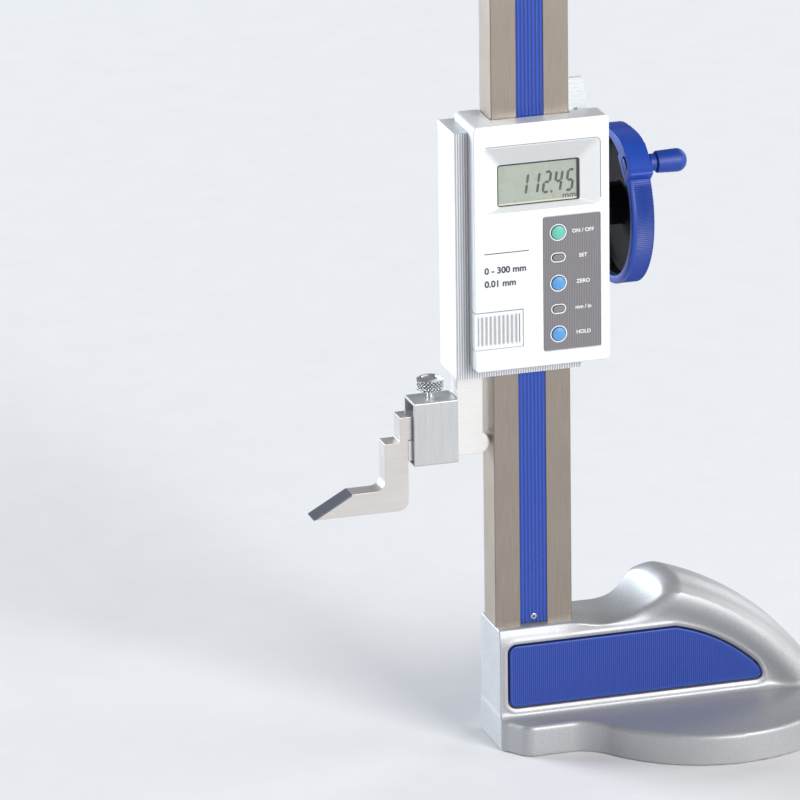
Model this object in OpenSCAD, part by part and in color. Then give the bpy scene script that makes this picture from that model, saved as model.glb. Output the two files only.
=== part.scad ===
// Digital height gauge, 300 mm range: a cast base, a rectangular column with a scale strip,
// a slider with display, jaw and scriber, and a handwheel that drives a pinion along a rack.
// Origin on the base's underside below the column's axis; +X from scriber to base tail,
// +Y away from the display's viewer, +Z up. Millimetres, real size.

/* [Reading] */
// Height of the scriber's measuring face over the floor
reading = 112.45; // [60:0.05:200]

/* [Base] */
// Height of the base where the column stands on it
base_height = 55; // [50:0.5:56]
// Thickness of the plinth round the foot of the base
plinth_height = 14; // [10:0.5:16]
// Radius of the round tail of the plinth
tail_radius = 63; // [58:0.5:68]
// Distance from the column's axis to the centre of the round tail
tail_offset = 78.6; // [74:0.2:82]
// Depth of the plinth under the column, front to back
plinth_depth = 52; // [46:0.5:58]
// Depth of the upright web, front to back
web_depth = 27.4; // [26:0.2:32]
// Radius of the hand rail's curve on its outside
rail_radius = 128.3; // [126:0.1:130]
// Thickness of the hand rail
rail_height = 17.8; // [16:0.2:19]
// Width of the hand rail, front to back
rail_width = 34; // [32:0.5:40]
// Thickness of the grip plates
grip_thickness = 3.2; // [2.4:0.1:4]

/* [Column] */
// Width of the column, left to right
column_width = 35; // [34:0.1:35.4]
// Depth of the column, front to back
column_depth = 16; // [15.6:0.1:16.2]
// Height of the column's top face over the floor
column_top = 500; // [490:1:540]
// Width of the scale strip let into the column's front
strip_width = 12.3; // [10:0.1:14]
// Thickness of the cover over the scale
cover_thickness = 1.2; // [1:0.1:1.5]
// Thickness of the scale under its cover
scale_thickness = 1; // [0.8:0.1:1.2]

/* [Slider] */
// Height of the slider frame
slider_height = 110.4; // [109.6:0.1:112]
// Width of the ribs' grooves down the frame's front
groove_width = 0.5; // [0.3:0.05:0.6]

/* [Display] */
// Width of the display housing
housing_width = 60.9; // [60:0.1:62]
// Height of the display housing
housing_height = 109.8; // [109.4:0.1:111]
// Thickness of the housing's walls
wall = 1.8; // [1.4:0.1:2]
// Width of the readout window
window_width = 36.8; // [34:0.2:38]
// Height of the readout window
window_height = 18.5; // [16:0.1:19]
// Diameter of the round keys
key_diameter = 6; // [5:0.1:6.4]
// Travel of the keys
key_travel = 0.8; // [0.5:0.05:0.9]

/* [Drive] */
// Radius of the handwheel's rim
wheel_radius = 35; // [32:0.5:38]
// Width of the handwheel's rim
wheel_width = 10.5; // [9:0.1:12]
// Diameter of the crank knob
knob_diameter = 10.2; // [9.6:0.1:11]
// Module of the rack and pinion teeth
tooth_module = 1; // [0.9:0.02:1]
// Radius of the drive shaft
shaft_radius = 3; // [2.6:0.1:3.4]

/* [Scriber] */
// Thickness of the jaw and the scriber, front to back
jaw_depth = 9; // [8:0.1:9.4]
// Reach of the scriber's tip from the column's axis
scriber_reach = 98; // [94:0.5:104]
// Thickness of the scriber's foot
foot_height = 10; // [9:0.1:11]
// Diameter of the thumb screw's head
thumb_diameter = 11.7; // [10:0.1:13]

/* [Fits] */
// Gap between the slider and the column on each side
run = 0.15; // [0.1:0.01:0.25]
// Radial gap of a pin or shaft in its bore
fit = 0.05; // [0.03:0.005:0.08]
// Gap between faces of different moving pieces
gap = 0.4; // [0.3:0.02:0.6]

/* [Hidden] */
$fn = 64;
cx = column_width / 2;
cy = column_depth / 2;
base_left = -cx - 0.1;
web = web_depth / 2;
plinth = plinth_depth / 2;
plinth_corner = base_left + 8.6;
rail_x = 23.4;
rail_z = base_height - 106;
rail_mid = rail_radius - rail_height / 2;
saddle_x = 33;
saddle_radius = 19.5;
saddle_z = base_height - 1.5 + saddle_radius;
flare = 9;
flare_y = plinth + flare - 0.06;
flare_x = tail_offset - sqrt(pow(tail_radius + flare - 0.1, 2) - pow(flare_y, 2));
grip_left = base_left + 4.5;
grip_bottom = plinth_height + 5;
grip_top = base_height - 7.6;
grip_arc_x = 44;
grip_arc_z = base_height - 85;
grip_arc = 79.7;
grip_right = 103.6;
grip_seam = 0.7;
grip_bed = web - 3;
bolt_x = 10;
bolt_radius = 3;
bolt_seat = base_height - 15;
groove_depth = cover_thickness + scale_thickness;
strip = strip_width / 2;
strip_bottom = base_height + 0.6;
strip_top = column_top - 4;
cap_height = 5;
// slider
zs = reading - 112.45;
slider_bottom = zs + 170.8;
slider_top = slider_bottom + slider_height;
slider_left = -34.5;
slider_right = 22.8;
slider_front = -9.6;
slider_rear = 14;
frame_corner = 1.6;
gib_thickness = 1.2;
gib_half = 5;
gib_bottom = slider_bottom + 5;
gib_top = slider_bottom + 90;
clamp_y = 4;
clamp_z = slider_top - 7.2;
clamp_hole = 2.5;
// housing
hl = -28.3;
hr = hl + housing_width;
hb = slider_bottom + 4.8;
ht = hb + housing_height;
front = -17;
inner = front + wall;
collar_bottom = slider_top + 0.1;
over_rear = -5;
recess_left = hl + 4;
recess_right = hr - 4.1;
recess_top = ht - 9.6;
recess_bottom = ht - 39.4;
window_left = -16.7;
window_right = window_left + window_width;
window_top = ht - 18.7;
window_bottom = window_top - window_height;
window_face = front + 2;
bezel_back = -13.4;
board_front = -11.2;
board_back = -10;
panel_left = 2.7;
panel_right = hr - 4.2;
panel_bottom = hb + 6.5;
panel_top = hb + 66.9;
panel_thickness = 0.5;
key_x = 9.4;
key_z = [for (d = [59.5, 48.3, 36.7, 25.1, 13.8]) hb + d];
oval_half = 1.2;
oval_radius = 1.4;
key_face = front - 1;
post_z = [slider_bottom + 44, slider_bottom + 106];
boss_x = -24.4;
boss_right_x = 20.9;
boss_right_z = [slider_bottom + 8.8, slider_bottom + 70.7];
cover_left = hl;
cover_right = -6.8;
cover_bottom = hb + 10.2;
cover_top = hb + 26.5;
cell_x = -17.5;
cell_z = (cover_bottom + cover_top) / 2;
cell_radius = 5.8;
// jaw, clamp and scriber
jd = jaw_depth / 2;
jaw_bottom = zs + 134.7;
jaw_top = zs + 144;
leg_left = -32.9;
leg_right = -21.3;
tang_top = slider_bottom + 18;
tongue_left = -55;
box_left = -53.1;
box_right = leg_left - 0.2;
box_half = jd + 2.5;
box_bottom = zs + 132.5;
box_top = zs + 161.2;
box_roof = zs + 157.2;
shank_bottom = jaw_top + 0.3;
shank_top = zs + 154.8;
thumb_x = -43.6;
thumb_radius = 2.5;
foot_top = reading + foot_height;
tip_split = scriber_reach - 11;
// drive
wheel_z = zs + 234.6;
teeth = 16;
pitch_radius = teeth * tooth_module / 2;
rack_pitch_y = 9;
wheel_y = rack_pitch_y + pitch_radius;
rack_half = 4;
rack_bed = 4;
pressure = 25;
pitch = PI * tooth_module;
wheel_left = 42.6;
wheel_right = wheel_left + wheel_width;
case_left = -15;
case_right = 40;
case_radius = pitch_radius + tooth_module + 3.3;
bush_radius = shaft_radius + 2;
case_bolt = case_radius + 3;
case_bolt_x = [-15.5, 14];
flange_thickness = 3.5;
flange_half = case_bolt + 3.2;
knob_angle = 135;
knob_arm = wheel_radius - 0.5;
knob_y = wheel_y + knob_arm * cos(knob_angle);
knob_z = wheel_z + knob_arm * sin(knob_angle);
knob_left = wheel_right + gap;
knob_radius = knob_diameter / 2;
knob_length = 17;
knob_right = knob_left + knob_length;
axle_radius = 2.2;

// a block between two corners
module block(x0, x1, y0, y1, z0, z1) {
  translate([x0, y0, z0])
    cube([x1 - x0, y1 - y0, z1 - z0]);
}

// a front view, x across and z up, given depth from y0 to y1
module front_view(y0, y1) {
  translate([0, y1, 0])
    rotate([90, 0, 0])
      linear_extrude(y1 - y0)
        children();
}

// a side view, y across and z up, given width from x0 to x1
module side_view(x0, x1) {
  translate([x0, 0, 0])
    rotate([90, 0, 90])
      linear_extrude(x1 - x0)
        children();
}

// a round bar along X
module bar_x(x0, x1, r, y, z) {
  translate([x0, y, z])
    rotate([0, 90, 0])
      cylinder(h = x1 - x0, r = r);
}

// a round bar along Y
module bar_y(y0, y1, r, x, z) {
  translate([x, y0, z])
    rotate([-90, 0, 0])
      cylinder(h = y1 - y0, r = r);
}

// a round bar along Z
module bar_z(z0, z1, r, x, y) {
  translate([x, y, z0])
    cylinder(h = z1 - z0, r = r);
}

// a flat rectangle with rounded corners
module rounded(x0, x1, z0, z1, r) {
  translate([x0 + r, z0])
    square([x1 - x0 - 2 * r, z1 - z0]);
  translate([x0, z0 + r])
    square([x1 - x0, z1 - z0 - 2 * r]);
  for (x = [x0 + r, x1 - r])
    for (z = [z0 + r, z1 - r])
      translate([x, z])
        circle(r);
}

// a flat oval, longer across
module oval(x, z, half, r) {
  translate([x - half, z - r])
    square([2 * half, 2 * r]);
  for (s = [-1, 1])
    translate([x + s * half, z])
      circle(r);
}

// plan of the plinth: straight under the column, flared into a round tail
module plinth_plan() {
  polygon([
    [base_left, -web],
    [plinth_corner, -plinth],
    [tail_offset, -plinth],
    [tail_offset, plinth],
    [plinth_corner, plinth],
    [base_left, web]
  ]);
  translate([tail_offset, 0])
    circle(tail_radius, $fn = 128);
  for (s = [-1, 1])
    difference() {
      polygon([
        [flare_x + 0.2, s * (plinth - 1)],
        [tail_offset - tail_radius + 20, s * (plinth - 1)],
        [tail_offset + 0.97 * tail_radius / (tail_radius + flare) * (flare_x - tail_offset),
          s * 0.97 * tail_radius / (tail_radius + flare) * flare_y],
        [flare_x + 0.2, s * flare_y]
      ]);
      translate([flare_x, s * flare_y])
        circle(flare);
    }
}

// front view of the web: flat top under the column, scooped saddle, curved back
module web_view() {
  difference() {
    intersection() {
      translate([rail_x, rail_z])
        circle(rail_mid, $fn = 128);
      polygon([
        [base_left, 0],
        [160, 0],
        [160, base_height + 40],
        [saddle_x, base_height + 40],
        [saddle_x, base_height - 1.5],
        [cx + 0.7, base_height],
        [base_left, base_height]
      ]);
    }
    translate([saddle_x, saddle_z])
      circle(saddle_radius);
  }
}

// outline of a grip plate, grown by e
module grip_view(e) {
  intersection() {
    rounded(grip_left - e, grip_right + e, grip_bottom - e, grip_top + e, 3.4 + e);
    union() {
      translate([grip_arc_x, grip_arc_z])
        circle(grip_arc + e, $fn = 128);
      translate([grip_left - 2 * e - 1, 0])
        square([grip_arc_x - grip_left + 2 * e + 1, base_height]);
    }
  }
}

// section of the hand rail, flat on top with round sides
module rail_section() {
  r = rail_height / 2;
  half = rail_width / 2 - r;
  translate([rail_mid, 0]) {
    translate([-r, -half])
      square([2 * r, 2 * half]);
    for (s = [-1, 1])
      translate([0, s * half])
        circle(r);
  }
}

module base_casting() {
  color("silver")
    difference() {
      union() {
        linear_extrude(plinth_height)
          plinth_plan();
        front_view(-web, web)
          web_view();
        translate([rail_x, 0, rail_z])
          rotate([90, 0, 0])
            rotate([0, 0, 20])
              rotate_extrude(angle = 60, $fn = 128)
                rail_section();
      }
      bar_y(-rail_width, rail_width, saddle_radius, saddle_x, saddle_z);
      block(0, 200, -100, 100, -100, 0);
      front_view(-web - 10, -grip_bed)
        grip_view(grip_seam);
      front_view(grip_bed, web + 10)
        grip_view(grip_seam);
      bar_z(-1, 1.5, tail_radius - 20, tail_offset, 0);
      for (x = [-bolt_x, bolt_x]) {
        bar_z(-1, bolt_seat, bolt_radius + 2.3, x, 0);
        bar_z(bolt_seat - 1, base_height + 1, bolt_radius + fit, x, 0);
      }
    }
}

module front_grip() {
  color("royalblue")
    front_view(-grip_bed - grip_thickness, -grip_bed)
      grip_view(0);
}

module rear_grip() {
  color("royalblue")
    front_view(grip_bed, grip_bed + grip_thickness)
      grip_view(0);
}

module column() {
  color("lightgray")
    difference() {
      block(-cx, cx, -cy, cy, base_height, column_top);
      block(-strip - fit, strip + fit, -cy - 1, -cy + groove_depth, base_height - 1, column_top + 1);
      block(-rack_half - fit, rack_half + fit, rack_bed, cy + 1, base_height + 30, column_top + 1);
      for (x = [-bolt_x, bolt_x]) {
        bar_z(base_height - 1, base_height + 16, bolt_radius, x, 0);
        bar_z(column_top - 14, column_top + 1, 1.5, x, 0);
      }
      for (z = [strip_bottom + 2.6, strip_top - 2.6])
        bar_y(-cy, 0, 1, 0, z);
    }
}

module main_scale() {
  color("darkgoldenrod")
    difference() {
      block(-strip, strip, -cy + cover_thickness, -cy + groove_depth, strip_bottom, strip_top);
      for (z = [strip_bottom + 2.6, strip_top - 2.6])
        bar_y(-cy, 0, 1, 0, z);
    }
}

module scale_cover() {
  color("royalblue")
    difference() {
      block(-strip, strip, -cy, -cy + cover_thickness, strip_bottom, strip_top);
      for (i = [-3:3])
        block(i * strip_width / 7.4 - 0.3, i * strip_width / 7.4 + 0.3, -cy - 1, -cy + 0.35,
          strip_bottom - 1, strip_top + 1);
      for (z = [strip_bottom + 2.6, strip_top - 2.6])
        bar_y(-cy - 1, -cy + cover_thickness + 1, 1.5, 0, z);
    }
}

module scale_screws() {
  color("silver")
    for (z = [strip_bottom + 2.6, strip_top - 2.6]) {
      bar_y(-cy + 0.2, -cy + cover_thickness, 1.5 - fit, 0, z);
      bar_y(-cy + cover_thickness - 0.1, -1, 1 - fit, 0, z);
    }
}

module column_bolts() {
  color("dimgray")
    for (x = [-bolt_x, bolt_x])
      difference() {
        union() {
          bar_z(bolt_seat - 6, bolt_seat, bolt_radius + 2, x, 0);
          bar_z(bolt_seat - 1, base_height + 14, bolt_radius - fit, x, 0);
        }
        translate([x, 0, bolt_seat - 7])
          cylinder(h = 4, r = 2.9, $fn = 6);
      }
}

module column_cap() {
  color("dimgray")
    difference() {
      block(-cx - 1, cx + 1, -cy - 1, cy + 1, column_top, column_top + cap_height);
      for (x = [-bolt_x, bolt_x]) {
        bar_z(column_top - 1, column_top + cap_height + 1, 1.5 + fit, x, 0);
        bar_z(column_top + 2.4, column_top + cap_height + 1, 3, x, 0);
      }
    }
}

module cap_screws() {
  color("dimgray")
    for (x = [-bolt_x, bolt_x])
      difference() {
        union() {
          bar_z(column_top + 2.4, column_top + 4.8, 2.8, x, 0);
          bar_z(column_top - 10, column_top + 3, 1.5 - fit, x, 0);
        }
        translate([x, 0, column_top + 3.4])
          cylinder(h = 4, r = 1.4, $fn = 6);
      }
}

module feed_rack() {
  add = tooth_module;
  ded = 1.25 * tooth_module;
  tip = pitch / 4 - add * tan(pressure);
  root = pitch / 4 + ded * tan(pressure);
  first = -ceil((reading + 12) / pitch);
  last = ceil((300 - reading + 14) / pitch);
  edge = [for (k = [first:last])
    for (c = [[-root, -ded], [-tip, add], [tip, add], [root, -ded]])
      [rack_pitch_y + c[1], wheel_z + (k + 0.5) * pitch + c[0]]];
  color("gray")
    side_view(-rack_half, rack_half)
      polygon(concat(
        [[rack_bed, wheel_z + (first - 0.2) * pitch]],
        [[rack_pitch_y - ded, wheel_z + (first - 0.2) * pitch]],
        edge,
        [[rack_pitch_y - ded, wheel_z + (last + 1.2) * pitch]],
        [[rack_bed, wheel_z + (last + 1.2) * pitch]]
      ));
}

module frame_plan() {
  difference() {
    rounded(slider_left, slider_right, slider_front, slider_rear, frame_corner);
    translate([-cx - run, -cy - run])
      square([2 * cx + 2 * run, 2 * cy + 2 * run]);
    translate([-rack_half - 0.6, 0])
      square([2 * rack_half + 1.2, rack_pitch_y + tooth_module + 1.4]);
    for (x = [slider_left + 2.2:1.1:slider_right - 2])
      translate([x - groove_width / 2, slider_front - 1])
        square([groove_width, 1.4]);
  }
}

module slider_frame() {
  color("gainsboro")
    difference() {
      translate([0, 0, slider_bottom])
        linear_extrude(slider_height)
          frame_plan();
      block(cx, cx + run + gib_thickness + fit, -gib_half - fit, gib_half + fit,
        gib_bottom - fit, gib_top + fit);
      for (z = [gib_bottom + 12, gib_top - 12])
        bar_x(cx, slider_right + 1, 1.5, 0, z);
      bar_x(cx, slider_right + 1, clamp_hole, clamp_y, clamp_z);
      block(-9, 9, slider_front - 1, -cy, slider_bottom + 40, slider_bottom + 78);
      block(-5.6, 5.6, cy, slider_rear + 1, wheel_z - 9.8, wheel_z + 9.8);
      bar_x(case_left + 1, slider_right + 1, bush_radius + 0.3, wheel_y, wheel_z);
      block(leg_left + 1.9 - fit, leg_right - 0.7 + fit, -jd + 1 - fit, jd - 1 + fit,
        slider_bottom - 1, tang_top + fit);
      for (z = [slider_bottom + 5.5, slider_bottom + 13]) {
        bar_y(-1, slider_rear + 1, 1.6, (leg_left + leg_right) / 2, z);
        bar_y(slider_rear - 3.2, slider_rear + 1, 3.1, (leg_left + leg_right) / 2, z);
      }
      for (z = post_z) {
        bar_y(slider_front - 1, slider_rear + 1, 1.3, boss_x, z);
        bar_y(slider_rear - 2, slider_rear + 1, 2.6, boss_x, z);
      }
      for (z = boss_right_z) {
        bar_y(slider_front - 1, slider_rear + 1, 1.3, boss_right_x, z);
        block(slider_right - 4.6, slider_right + 1, slider_rear - 2, slider_rear + 1, z - 2.6, z + 2.6);
      }
      for (x = case_bolt_x)
        for (z = [wheel_z - case_bolt, wheel_z + case_bolt])
          bar_y(cy + 1, slider_rear + 1, 1.5, x, z);
    }
}

module gib_strip() {
  color("goldenrod")
    block(cx + run, cx + run + gib_thickness, -gib_half, gib_half, gib_bottom, gib_top);
}

module gib_screws() {
  color("dimgray")
    for (z = [gib_bottom + 12, gib_top - 12])
      difference() {
        bar_x(cx + run + gib_thickness, slider_right - 0.2, 1.5 - fit, 0, z);
        translate([slider_right - 1.4, 0, z])
          rotate([0, 90, 0])
            cylinder(h = 4, r = 0.85, $fn = 6);
      }
}

module clamp_shoe() {
  color("goldenrod")
    bar_x(cx + run, cx + run + 1.5, clamp_hole - fit, clamp_y, clamp_z);
}

module housing_shell() {
  difference() {
    union() {
      front_view(front, slider_front)
        rounded(hl, hr, hb, ht, 2);
      block(hl, -cx - run, slider_front - 0.5, 9.5, collar_bottom, ht);
      block(-cx - 1, cx + 1, slider_front - 0.5, -cy - run, collar_bottom, ht);
      block(cx + run, hr, slider_front - 0.5, over_rear, collar_bottom, ht);
      block(slider_right + 0.1, hr, slider_front - 0.5, over_rear, hb, ht);
    }
    block(hl + wall, hr - wall, inner, slider_front + 0.1, hb + wall, collar_bottom - 0.6);
    block(slider_right + 0.1, hr - wall, inner, over_rear - wall, hb + wall, collar_bottom - 0.6);
    block(slider_left, slider_right + 0.1, slider_front, 20, hb - 1, collar_bottom);
  }
}

module display_housing() {
  color("whitesmoke")
    difference() {
      union() {
        housing_shell();
        block(recess_left - 1.4, recess_right + 1.4, inner - 0.2, bezel_back, recess_bottom - 1.4,
          recess_top + 1.4);
        for (z = post_z)
          bar_y(inner - 0.2, slider_front, 2.6, boss_x, z);
        for (z = boss_right_z)
          bar_y(inner - 0.2, slider_front, 2.6, boss_right_x, z);
        for (z = [panel_top + 1, panel_top - 8])
          bar_y(inner - 0.2, board_front, 1.6, -8, z);
        block(hl + wall - 0.1, cover_right + 1.6, inner - 0.1, slider_front, cover_top + 0.3,
          cover_top + 1.5);
        block(hl + wall - 0.1, cover_right + 1.6, inner - 0.1, slider_front, cover_bottom - 1.5,
          cover_bottom - 0.3);
        block(cover_right + 0.4, cover_right + 1.6, inner - 0.1, slider_front, cover_bottom - 1.5,
          cover_top + 1.5);
      }
      hull() {
        block(recess_left, recess_right, front - 0.1, front, recess_bottom, recess_top);
        block(window_left, window_right, window_face - 0.1, window_face, window_bottom, window_top);
      }
      block(window_left + 0.05, window_right - 0.05, front, bezel_back + 1, window_bottom + 0.05,
        window_top - 0.05);
      block(panel_left - 0.1, panel_right + 0.1, front - 1, front + panel_thickness,
        panel_bottom - 0.1, panel_top + 0.1);
      front_view(front - 2, inner + 0.5)
        key_holes(0.2);
      block(hl - 1, cover_right + 0.3, front - 1, inner + 0.2, cover_bottom - 0.3, cover_top + 0.3);
      block(hl - 1, hl + wall + 0.3, front - 1, -11.6, cover_bottom - 0.3, cover_top + 0.3);
      for (z = post_z)
        bar_y(inner + 0.4, slider_front + 1, 1.2, boss_x, z);
      for (z = boss_right_z)
        bar_y(inner + 0.4, slider_front + 1, 1.2, boss_right_x, z);
    }
}

// the five key outlines, grown by e
module key_holes(e) {
  for (i = [0, 2, 4])
    translate([key_x, key_z[i]])
      circle(key_diameter / 2 + e);
  for (i = [1, 3])
    oval(key_x, key_z[i], oval_half, oval_radius + e);
}

module housing_screws() {
  color("dimgray") {
    for (z = post_z) {
      bar_y(slider_rear - 2, slider_rear - 0.3, 2.3, boss_x, z);
      bar_y(inner + 2, slider_rear - 1, 1.2 - fit, boss_x, z);
    }
    for (z = boss_right_z) {
      bar_y(slider_rear - 2, slider_rear - 0.3, 1.8, boss_right_x, z);
      bar_y(inner + 2, slider_rear - 1, 1.2 - fit, boss_right_x, z);
    }
  }
}

module key_panel() {
  color("dimgray")
    front_view(front, front + panel_thickness)
      difference() {
        translate([panel_left, panel_bottom])
          square([panel_right - panel_left, panel_top - panel_bottom]);
        key_holes(0.2);
      }
}

module keypad_mat() {
  color("black") {
    block(key_x - 5, key_x + 5, board_front - 0.6, board_front, key_z[4] - 5, key_z[0] + 5);
    for (z = key_z)
      bar_y(board_front - 1.1, board_front - 0.5, 2, key_x, z);
  }
}

module circuit_board() {
  color("darkgreen") {
    block(-20.4, 17.6, board_front, board_back, cover_top + 3, collar_bottom - 2);
    block(-2, 17.6, board_front, board_back, hb + 3, cover_top + 3.5);
  }
}

module sensor_head() {
  color("dimgray")
    block(-8, 8, board_back, -cy - run, slider_bottom + 41, slider_bottom + 77);
}

module lcd_module() {
  color("darkseagreen")
    block(window_left - 1.3, window_right + 1.3, bezel_back, board_front, window_bottom - 1.3,
      window_top + 1.3);
}

module lcd_window() {
  color("lightgray")
    block(window_left + 0.1, window_right - 0.1, window_face + 0.2, bezel_back, window_bottom + 0.1,
      window_top - 0.1);
}

module coin_cell() {
  color("silver")
    bar_y(-15, slider_front - 0.5, cell_radius, cell_x, cell_z);
}

module battery_contact() {
  color("goldenrod")
    block(cell_x - 5, cell_x + 5, slider_front - 0.5, slider_front, cell_z - 5, cell_z + 5);
}

module jaw() {
  r = (jaw_top - jaw_bottom) / 2;
  color("lightgray")
    difference() {
      union() {
        front_view(-jd, jd) {
          translate([leg_left, jaw_bottom])
            square([leg_right - leg_left, slider_bottom - jaw_bottom]);
          translate([tongue_left, jaw_bottom])
            square([-18.4 - r - tongue_left, 2 * r]);
          translate([-18.4 - r, jaw_bottom + r])
            circle(r);
        }
        block(leg_left + 1.9, leg_right - 0.7, -jd + 1, jd - 1, slider_bottom - 1, tang_top);
      }
      for (z = [slider_bottom + 5.5, slider_bottom + 13])
        bar_y(-1, jd + 1, 1.5, (leg_left + leg_right) / 2, z);
    }
}

module jaw_screws() {
  color("dimgray")
    for (z = [slider_bottom + 5.5, slider_bottom + 13])
      difference() {
        union() {
          bar_y(slider_rear - 3.2, slider_rear - 0.3, 2.8, (leg_left + leg_right) / 2, z);
          bar_y(-0.5, slider_rear - 2, 1.5 - fit, (leg_left + leg_right) / 2, z);
        }
        translate([(leg_left + leg_right) / 2, slider_rear - 2, z])
          rotate([-90, 0, 0])
            cylinder(h = 4, r = 1.4, $fn = 6);
      }
}

module clamp_box() {
  color("silver")
    difference() {
      block(box_left, box_right, -box_half, box_half, box_bottom, box_top);
      block(box_left - 1, box_right + 1, -jd - 0.3, jd + 0.3, jaw_bottom, box_roof);
      bar_z(box_roof - 1, box_top + 1, thumb_radius, thumb_x, 0);
    }
}

module gear_case() {
  color("gainsboro")
    difference() {
      union() {
        block(-19, 19, slider_rear, slider_rear + flange_thickness, wheel_z - flange_half,
          wheel_z + flange_half);
        difference() {
          bar_x(case_left, case_right, case_radius, wheel_y, wheel_z);
          block(case_left - 1, slider_right + gap, -20, slider_rear, wheel_z - 40, wheel_z + 40);
        }
      }
      bar_x(-5.6, 5.6, pitch_radius + tooth_module + 0.8, wheel_y, wheel_z);
      block(-5.6, 5.6, 0, wheel_y, wheel_z - 9.8, wheel_z + 9.8);
      bar_x(case_left + 2, case_right + 1, bush_radius, wheel_y, wheel_z);
      for (x = case_bolt_x)
        for (z = [wheel_z - case_bolt, wheel_z + case_bolt])
          bar_y(slider_rear - 1, slider_rear + 10, 1.5 + fit, x, z);
    }
}

module gear_case_screws() {
  color("dimgray")
    for (x = case_bolt_x)
      for (z = [wheel_z - case_bolt, wheel_z + case_bolt])
        difference() {
          union() {
            bar_y(slider_rear + flange_thickness, slider_rear + flange_thickness + 2.8, 2.7, x, z);
            bar_y(cy + 2, slider_rear + flange_thickness + 0.5, 1.5 - fit, x, z);
          }
          translate([x, slider_rear + flange_thickness + 1.5, z])
            rotate([-90, 0, 0])
              cylinder(h = 4, r = 1.4, $fn = 6);
        }
}

module shaft_bushes() {
  color("goldenrod")
    for (x = [[case_left + 2, -7], [case_right - 9, case_right]])
      difference() {
        bar_x(x[0], x[1], bush_radius - 0.02, wheel_y, wheel_z);
        bar_x(x[0] - 1, x[1] + 1, shaft_radius + fit, wheel_y, wheel_z);
      }
}

// side view of the rim's lug that carries the knob
module lug_view() {
  translate([wheel_y, wheel_z])
    rotate([0, 0, knob_angle])
      translate([wheel_radius - 6, -7.5])
        rounded(0, 10, 0, 15, 3);
}

module handwheel() {
  color("royalblue")
    difference() {
      union() {
        bar_x(wheel_left, wheel_right, wheel_radius, wheel_y, wheel_z);
        side_view(wheel_left, wheel_right)
          lug_view();
      }
      difference() {
        bar_x(wheel_left - 1, wheel_right - 3, wheel_radius - 3.6, wheel_y, wheel_z);
        bar_x(wheel_left - 2, wheel_right, 9, wheel_y, wheel_z);
        side_view(wheel_left, wheel_right)
          lug_view();
      }
      bar_x(wheel_left - 1, wheel_right - 3, shaft_radius + 0.02, wheel_y, wheel_z);
      bar_x(wheel_left, wheel_right + 1, 2 + fit, wheel_y, wheel_z);
      bar_x(wheel_left - 1, wheel_right + 1, axle_radius, knob_y, knob_z);
      bar_x(wheel_left - 1, wheel_left + 2.6, 3.9, knob_y, knob_z);
    }
}

module drive_shaft() {
  color("lightgray")
    difference() {
      bar_x(case_left + 3, wheel_right - 3, shaft_radius, wheel_y, wheel_z);
      bar_x(wheel_right - 14, wheel_right, 2, wheel_y, wheel_z);
    }
}

// angle between a radius line and the involute at radius r, in degrees
function involute(rb, r) = (tan(acos(rb / r)) * 180 / PI) - acos(rb / r);

module pinion() {
  rb = pitch_radius * cos(pressure);
  ra = pitch_radius + tooth_module;
  rr = pitch_radius - 1.25 * tooth_module;
  half = (pitch / 4 - 0.1) / pitch_radius * 180 / PI + involute(rb, pitch_radius);
  steps = [for (i = [0:5]) rb + (ra - rb) * i / 5];
  flank = concat([[rr, half]], [for (r = steps) [r, half - involute(rb, r)]]);
  n = len(flank);
  color("gray")
    difference() {
      side_view(-4, 4)
        translate([wheel_y, wheel_z])
          polygon([for (k = [0:teeth - 1])
            for (i = [0:2 * n - 1])
              let (
                p = i < n ? flank[i] : flank[2 * n - 1 - i],
                a = k * 360 / teeth + (i < n ? -p[1] : p[1])
              )
              [p[0] * cos(a), p[0] * sin(a)]]);
      bar_x(-5, 5, shaft_radius + 0.02, wheel_y, wheel_z);
    }
}

module hub_screw() {
  color("silver")
    difference() {
      union() {
        bar_x(wheel_right, wheel_right + 2.2, 4, wheel_y, wheel_z);
        bar_x(wheel_right - 12, wheel_right + 1, 2 - fit, wheel_y, wheel_z);
      }
      block(wheel_right + 1.2, wheel_right + 4, wheel_y - 5, wheel_y + 5, wheel_z - 0.5, wheel_z + 0.5);
    }
}

module knob_axle() {
  color("silver")
    difference() {
      union() {
        bar_x(wheel_left + 1.2, wheel_left + 2.6, 3.7, knob_y, knob_z);
        bar_x(wheel_left + 2, knob_right - 7, axle_radius - fit, knob_y, knob_z);
      }
      block(wheel_left, wheel_left + 1.9, knob_y - 5, knob_y + 5, knob_z - 0.5, knob_z + 0.5);
    }
}

module knob() {
  color("royalblue")
    difference() {
      union() {
        bar_x(knob_left, knob_left + 3.5, knob_radius - 1.3, knob_y, knob_z);
        bar_x(knob_left + 3.2, knob_right - knob_radius, knob_radius, knob_y, knob_z);
        translate([knob_right - knob_radius, knob_y, knob_z])
          sphere(knob_radius);
      }
      difference() {
        bar_x(knob_left + 2.5, knob_left + 3, knob_radius + 2, knob_y, knob_z);
        bar_x(knob_left, knob_left + 3.4, knob_radius - 1.7, knob_y, knob_z);
      }
      bar_x(knob_left - 1, knob_right - 6.4, axle_radius, knob_y, knob_z);
    }
}

// side view of the clamp lever's thumb pad, leaning back
module pad_view() {
  polygon([
    [clamp_y - 5.4, slider_top + 3.9],
    [clamp_y + 3.6, slider_top + 3.9],
    [clamp_y + 5, slider_top + 14.8],
    [clamp_y + 2.2, slider_top + 14.8]
  ]);
}

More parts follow.
